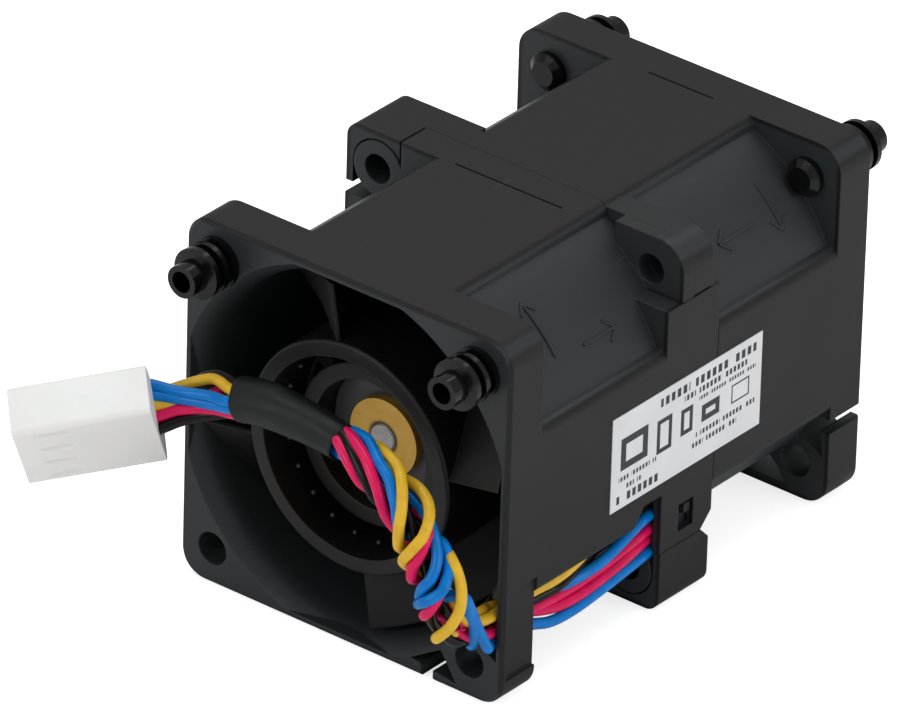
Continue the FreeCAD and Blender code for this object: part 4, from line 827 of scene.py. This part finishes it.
# Painted shade: the brass turns dark close round the shaft, where the gap between shaft and bush lies in
# shade.
gap = radius.between(*GAP_SHADE_RADII, 1.0, 0.0)
gap.mix(polished, srgb(36, 30, 20)).into(brass_shader.inputs["Base Color"])
cloud.between(0.3, 0.7, 0.40, 0.52).into(brass_shader.inputs["Roughness"])
bump = tree.node("ShaderNodeBump", None, {"Height": rings, "Strength": 0.12, "Distance": 0.00002})
bump.into(brass_shader.inputs["Normal"])

# each finish: its two shades, its noise's scale, its roughness, its bump's strength, how far it is metal
finishes = {"brass": brass}
for name, dark, light, scale, rough, bump_strength, metallic in (
    ("ground_steel", (150, 149, 146), (168, 167, 164), 900.0, (0.36, 0.46), 0.1, 0.6),
    ("coated_steel", (44, 44, 45), (54, 54, 55), 300.0, (0.35, 0.5), 0.1, 0.0),
    ("plain_steel", (130, 130, 132), (156, 156, 158), 700.0, (0.3, 0.45), 0.1, 0.9),
    ("bonded_magnet", (50, 46, 45), (62, 58, 56), 800.0, (0.6, 0.75), 0.1, 0.0),
    ("laminated_steel", (96, 98, 100), (122, 124, 126), 900.0, (0.4, 0.55), 0.1, 0.8),
    ("insulator_plastic", (214, 208, 190), (226, 220, 204), 300.0, (0.45, 0.6), 0.1, 0.0),
    ("copper_wire", (172, 96, 56), (196, 116, 70), 1800.0, (0.28, 0.42), 0.4, 0.8),
    ("board_laminate", (20, 70, 40), (28, 84, 50), 600.0, (0.3, 0.45), 0.1, 0.0),
):
    finishes[name] = plain_material(name, dark, light, scale, rough, bump_strength, Metallic=metallic)
for piece, finish in (
    ("rotor_bush", "brass"),
    ("bearing_tube", "brass"),
    ("shaft", "ground_steel"),
    ("rotor_yoke", "coated_steel"),
    ("magnet_ring", "bonded_magnet"),
    ("retaining_clip", "plain_steel"),
    ("preload_spring", "plain_steel"),
    ("inner_bearing", "plain_steel"),
    ("outer_bearing", "plain_steel"),
    ("stator_core", "laminated_steel"),
    ("lower_insulator", "insulator_plastic"),
    ("upper_insulator", "insulator_plastic"),
    ("stator_windings", "copper_wire"),
    ("circuit_board", "board_laminate"),
):
    for half in ("front", "rear"):
        dress_node(f"{half}_{piece}", finishes[finish])

# ---- staking beads ----
# Small beads of plastic round the hub's recess, pressed over the edge of the steel yoke when the
# impeller is joined to it. They repeat round the axis, and carry painted coppery glints.

BEAD_COUNT = 22
BEAD_RING_RADIUS = 10.35 * MM
BEAD_RADIUS = 0.30 * MM
BEAD_DEPTH = 24.05 * MM


def bead_tree(material):
    """Beads on a ring round the y axis: count, ring's radius, bead's radius and place as inputs."""
    group = bpy.data.node_groups.new("bead_ring", "GeometryNodeTree")
    for label, kind in (
        ("Count", "NodeSocketInt"), ("Ring Radius", "NodeSocketFloat"),
        ("Bead Radius", "NodeSocketFloat"), ("Place", "NodeSocketVector"),
    ):
        group.interface.new_socket(name=label, in_out="INPUT", socket_type=kind)
    group.interface.new_socket(name="Geometry", in_out="OUTPUT", socket_type="NodeSocketGeometry")
    made = group.nodes.new
    sizes, result = made("NodeGroupInput"), made("NodeGroupOutput")
    circle, ball = made("GeometryNodeMeshCircle"), made("GeometryNodeMeshUVSphere")
    put, turn = made("GeometryNodeInstanceOnPoints"), made("GeometryNodeTransform")
    real, paint = made("GeometryNodeRealizeInstances"), made("GeometryNodeSetMaterial")
    smooth = made("GeometryNodeSetShadeSmooth")
    ball.inputs["Segments"].default_value = 14
    ball.inputs["Rings"].default_value = 8
    turn.inputs["Rotation"].default_value = (math.radians(90), 0, 0)
    paint.inputs["Material"].default_value = material
    join = group.links.new
    join(sizes.outputs["Count"], circle.inputs["Vertices"])
    join(sizes.outputs["Ring Radius"], circle.inputs["Radius"])
    join(sizes.outputs["Bead Radius"], ball.inputs["Radius"])
    join(circle.outputs["Mesh"], put.inputs["Points"])
    join(ball.outputs["Mesh"], put.inputs["Instance"])
    join(put.outputs["Instances"], turn.inputs["Geometry"])
    join(sizes.outputs["Place"], turn.inputs["Translation"])
    join(turn.outputs["Geometry"], real.inputs["Geometry"])
    join(real.outputs["Geometry"], smooth.inputs["Geometry"])
    join(smooth.outputs["Geometry"], paint.inputs["Geometry"])
    join(paint.outputs["Geometry"], result.inputs["Geometry"])
    return group


# The beads' colour runs from black to a coppery tint. The black is the plastic's own colour; the coppery
# patches are painted glint.
bead_plastic_and_glint = plain_material("bead_plastic_and_glint", (20, 20, 21), (62, 50, 42), 420.0, (0.16, 0.34), 0.2)
beads = bead_tree(bead_plastic_and_glint)
bead_sockets = {
    item.name: item.identifier for item in beads.interface.items_tree if item.in_out == "INPUT"
}
for half, way in (("front", -1), ("rear", 1)):
    ring = bpy.data.objects.new(f"{half}_staking_beads", bpy.data.meshes.new(f"{half}_staking_beads"))
    scene.collection.objects.link(ring)
    maker = ring.modifiers.new("beads", "NODES")
    maker.node_group = beads
    maker[bead_sockets["Count"]] = BEAD_COUNT
    maker[bead_sockets["Ring Radius"]] = BEAD_RING_RADIUS
    maker[bead_sockets["Bead Radius"]] = BEAD_RADIUS
    maker[bead_sockets["Place"]] = (0.0, way * BEAD_DEPTH, AXIS_HEIGHT)
    bpy.context.view_layer.update()
    evaluated = ring.evaluated_get(bpy.context.evaluated_depsgraph_get())
    finished = bpy.data.meshes.new_from_object(evaluated)
    ring.modifiers.clear()
    ring.data = finished
    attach(ring, f"{half}_rotor")

# ---- rubber pins ----
# Glossy black rubber, pulled through the upper screw holes until the collar snaps in. The neck
# outside takes the sheet that the fan hangs in.

pin_rubber = plain_material(
    "pin_rubber", (6, 6, 7), (11, 11, 12), 260.0, (0.12, 0.22), 0.05, Specular_IOR_Level=0.3
)
for half in ("front", "rear"):
    for side in ("left", "right"):
        dress_node(f"{half}_{side}_vibration_pin", pin_rubber)

# ---- rating label ----
# A pale printed film, stuck on the right side across the strap. Its print is plain: rows of short
# bars in groups, and a few empty boxes.

LETTER_PITCH, LETTER_WIDTH = 1.15, 0.62
WORD_PITCH, WORD_WIDTH = 0.17, 0.86
WORD_SHIFT = 7.3
LABEL_SHAPE = 2.2

label_low, label_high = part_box("rating_label")
# each row of print, in shares of the label: its ends along it, its middle from the top, half its height
print_rows = [
    (0.32, 0.96, 0.125, 0.045),
    (0.48, 0.90, 0.235, 0.030),
    (0.58, 0.96, 0.325, 0.020),
    (0.56, 0.96, 0.700, 0.026),
    (0.54, 0.84, 0.800, 0.026),
    (0.05, 0.30, 0.690, 0.024),
    (0.10, 0.20, 0.790, 0.024),
    (0.04, 0.33, 0.900, 0.042),
]
# each printed box, in shares of the label: its ends, its top and bottom, its line's thickness
print_boxes = [
    (0.06, 0.24, 0.26, 0.60, 0.035),
    (0.30, 0.40, 0.30, 0.66, 0.022),
    (0.46, 0.54, 0.34, 0.62, 0.022),
    (0.60, 0.72, 0.42, 0.60, 0.028),
    (0.80, 0.92, 0.40, 0.60, 0.008),
]
label_film, film_shader, tree = new_material("label_film", Specular_IOR_Level=0.4)
place = tree.node("ShaderNodeTexCoord", output=3)
along = tree.node("ShaderNodeSeparateXYZ", None, {"Vector": place}, output=1)
height = tree.node("ShaderNodeSeparateXYZ", None, {"Vector": place}, output=2)
along = along.between(label_low[1], label_high[1])
height = height.between(label_high[2], label_low[2])


def inside(value, low, high):
    """1 where the value is between two limits, and 0 elsewhere."""
    return value.math("GREATER_THAN", value, low) * value.math("LESS_THAN", value, high)


ink = None
for first, final, middle, half in print_rows:
    letter = along.math("FRACT", along * (LETTER_PITCH / half))
    word = along.math("FRACT", along * (WORD_PITCH / half) + middle * WORD_SHIFT)
    row = inside(along, first, final) * inside(height, middle - half, middle + half)
    row = row * inside(letter, 0.0, LETTER_WIDTH) * inside(word, 0.0, WORD_WIDTH)
    ink = row if ink is None else ink.math("MAXIMUM", ink, row)
for first, final, top, bottom, line in print_boxes:
    outer = inside(along, first, final) * inside(height, top, bottom)
    line_high = line * LABEL_SHAPE
    inner = inside(along, first + line, final - line) * inside(height, top + line_high, bottom - line_high)
    ink = ink.math("MAXIMUM", ink, outer - inner)
cloud = tree.node("ShaderNodeTexNoise", None, {"Vector": place, "Scale": 200.0, "Detail": 4.0})
paper = cloud.between(0.32, 0.68).mix(srgb(214, 215, 217), srgb(222, 223, 225))
ink.mix(paper, srgb(38, 39, 42)).into(film_shader.inputs["Base Color"])
cloud.between(0.3, 0.7, 0.4, 0.5).into(film_shader.inputs["Roughness"])
dress_node("rating_label", label_film)
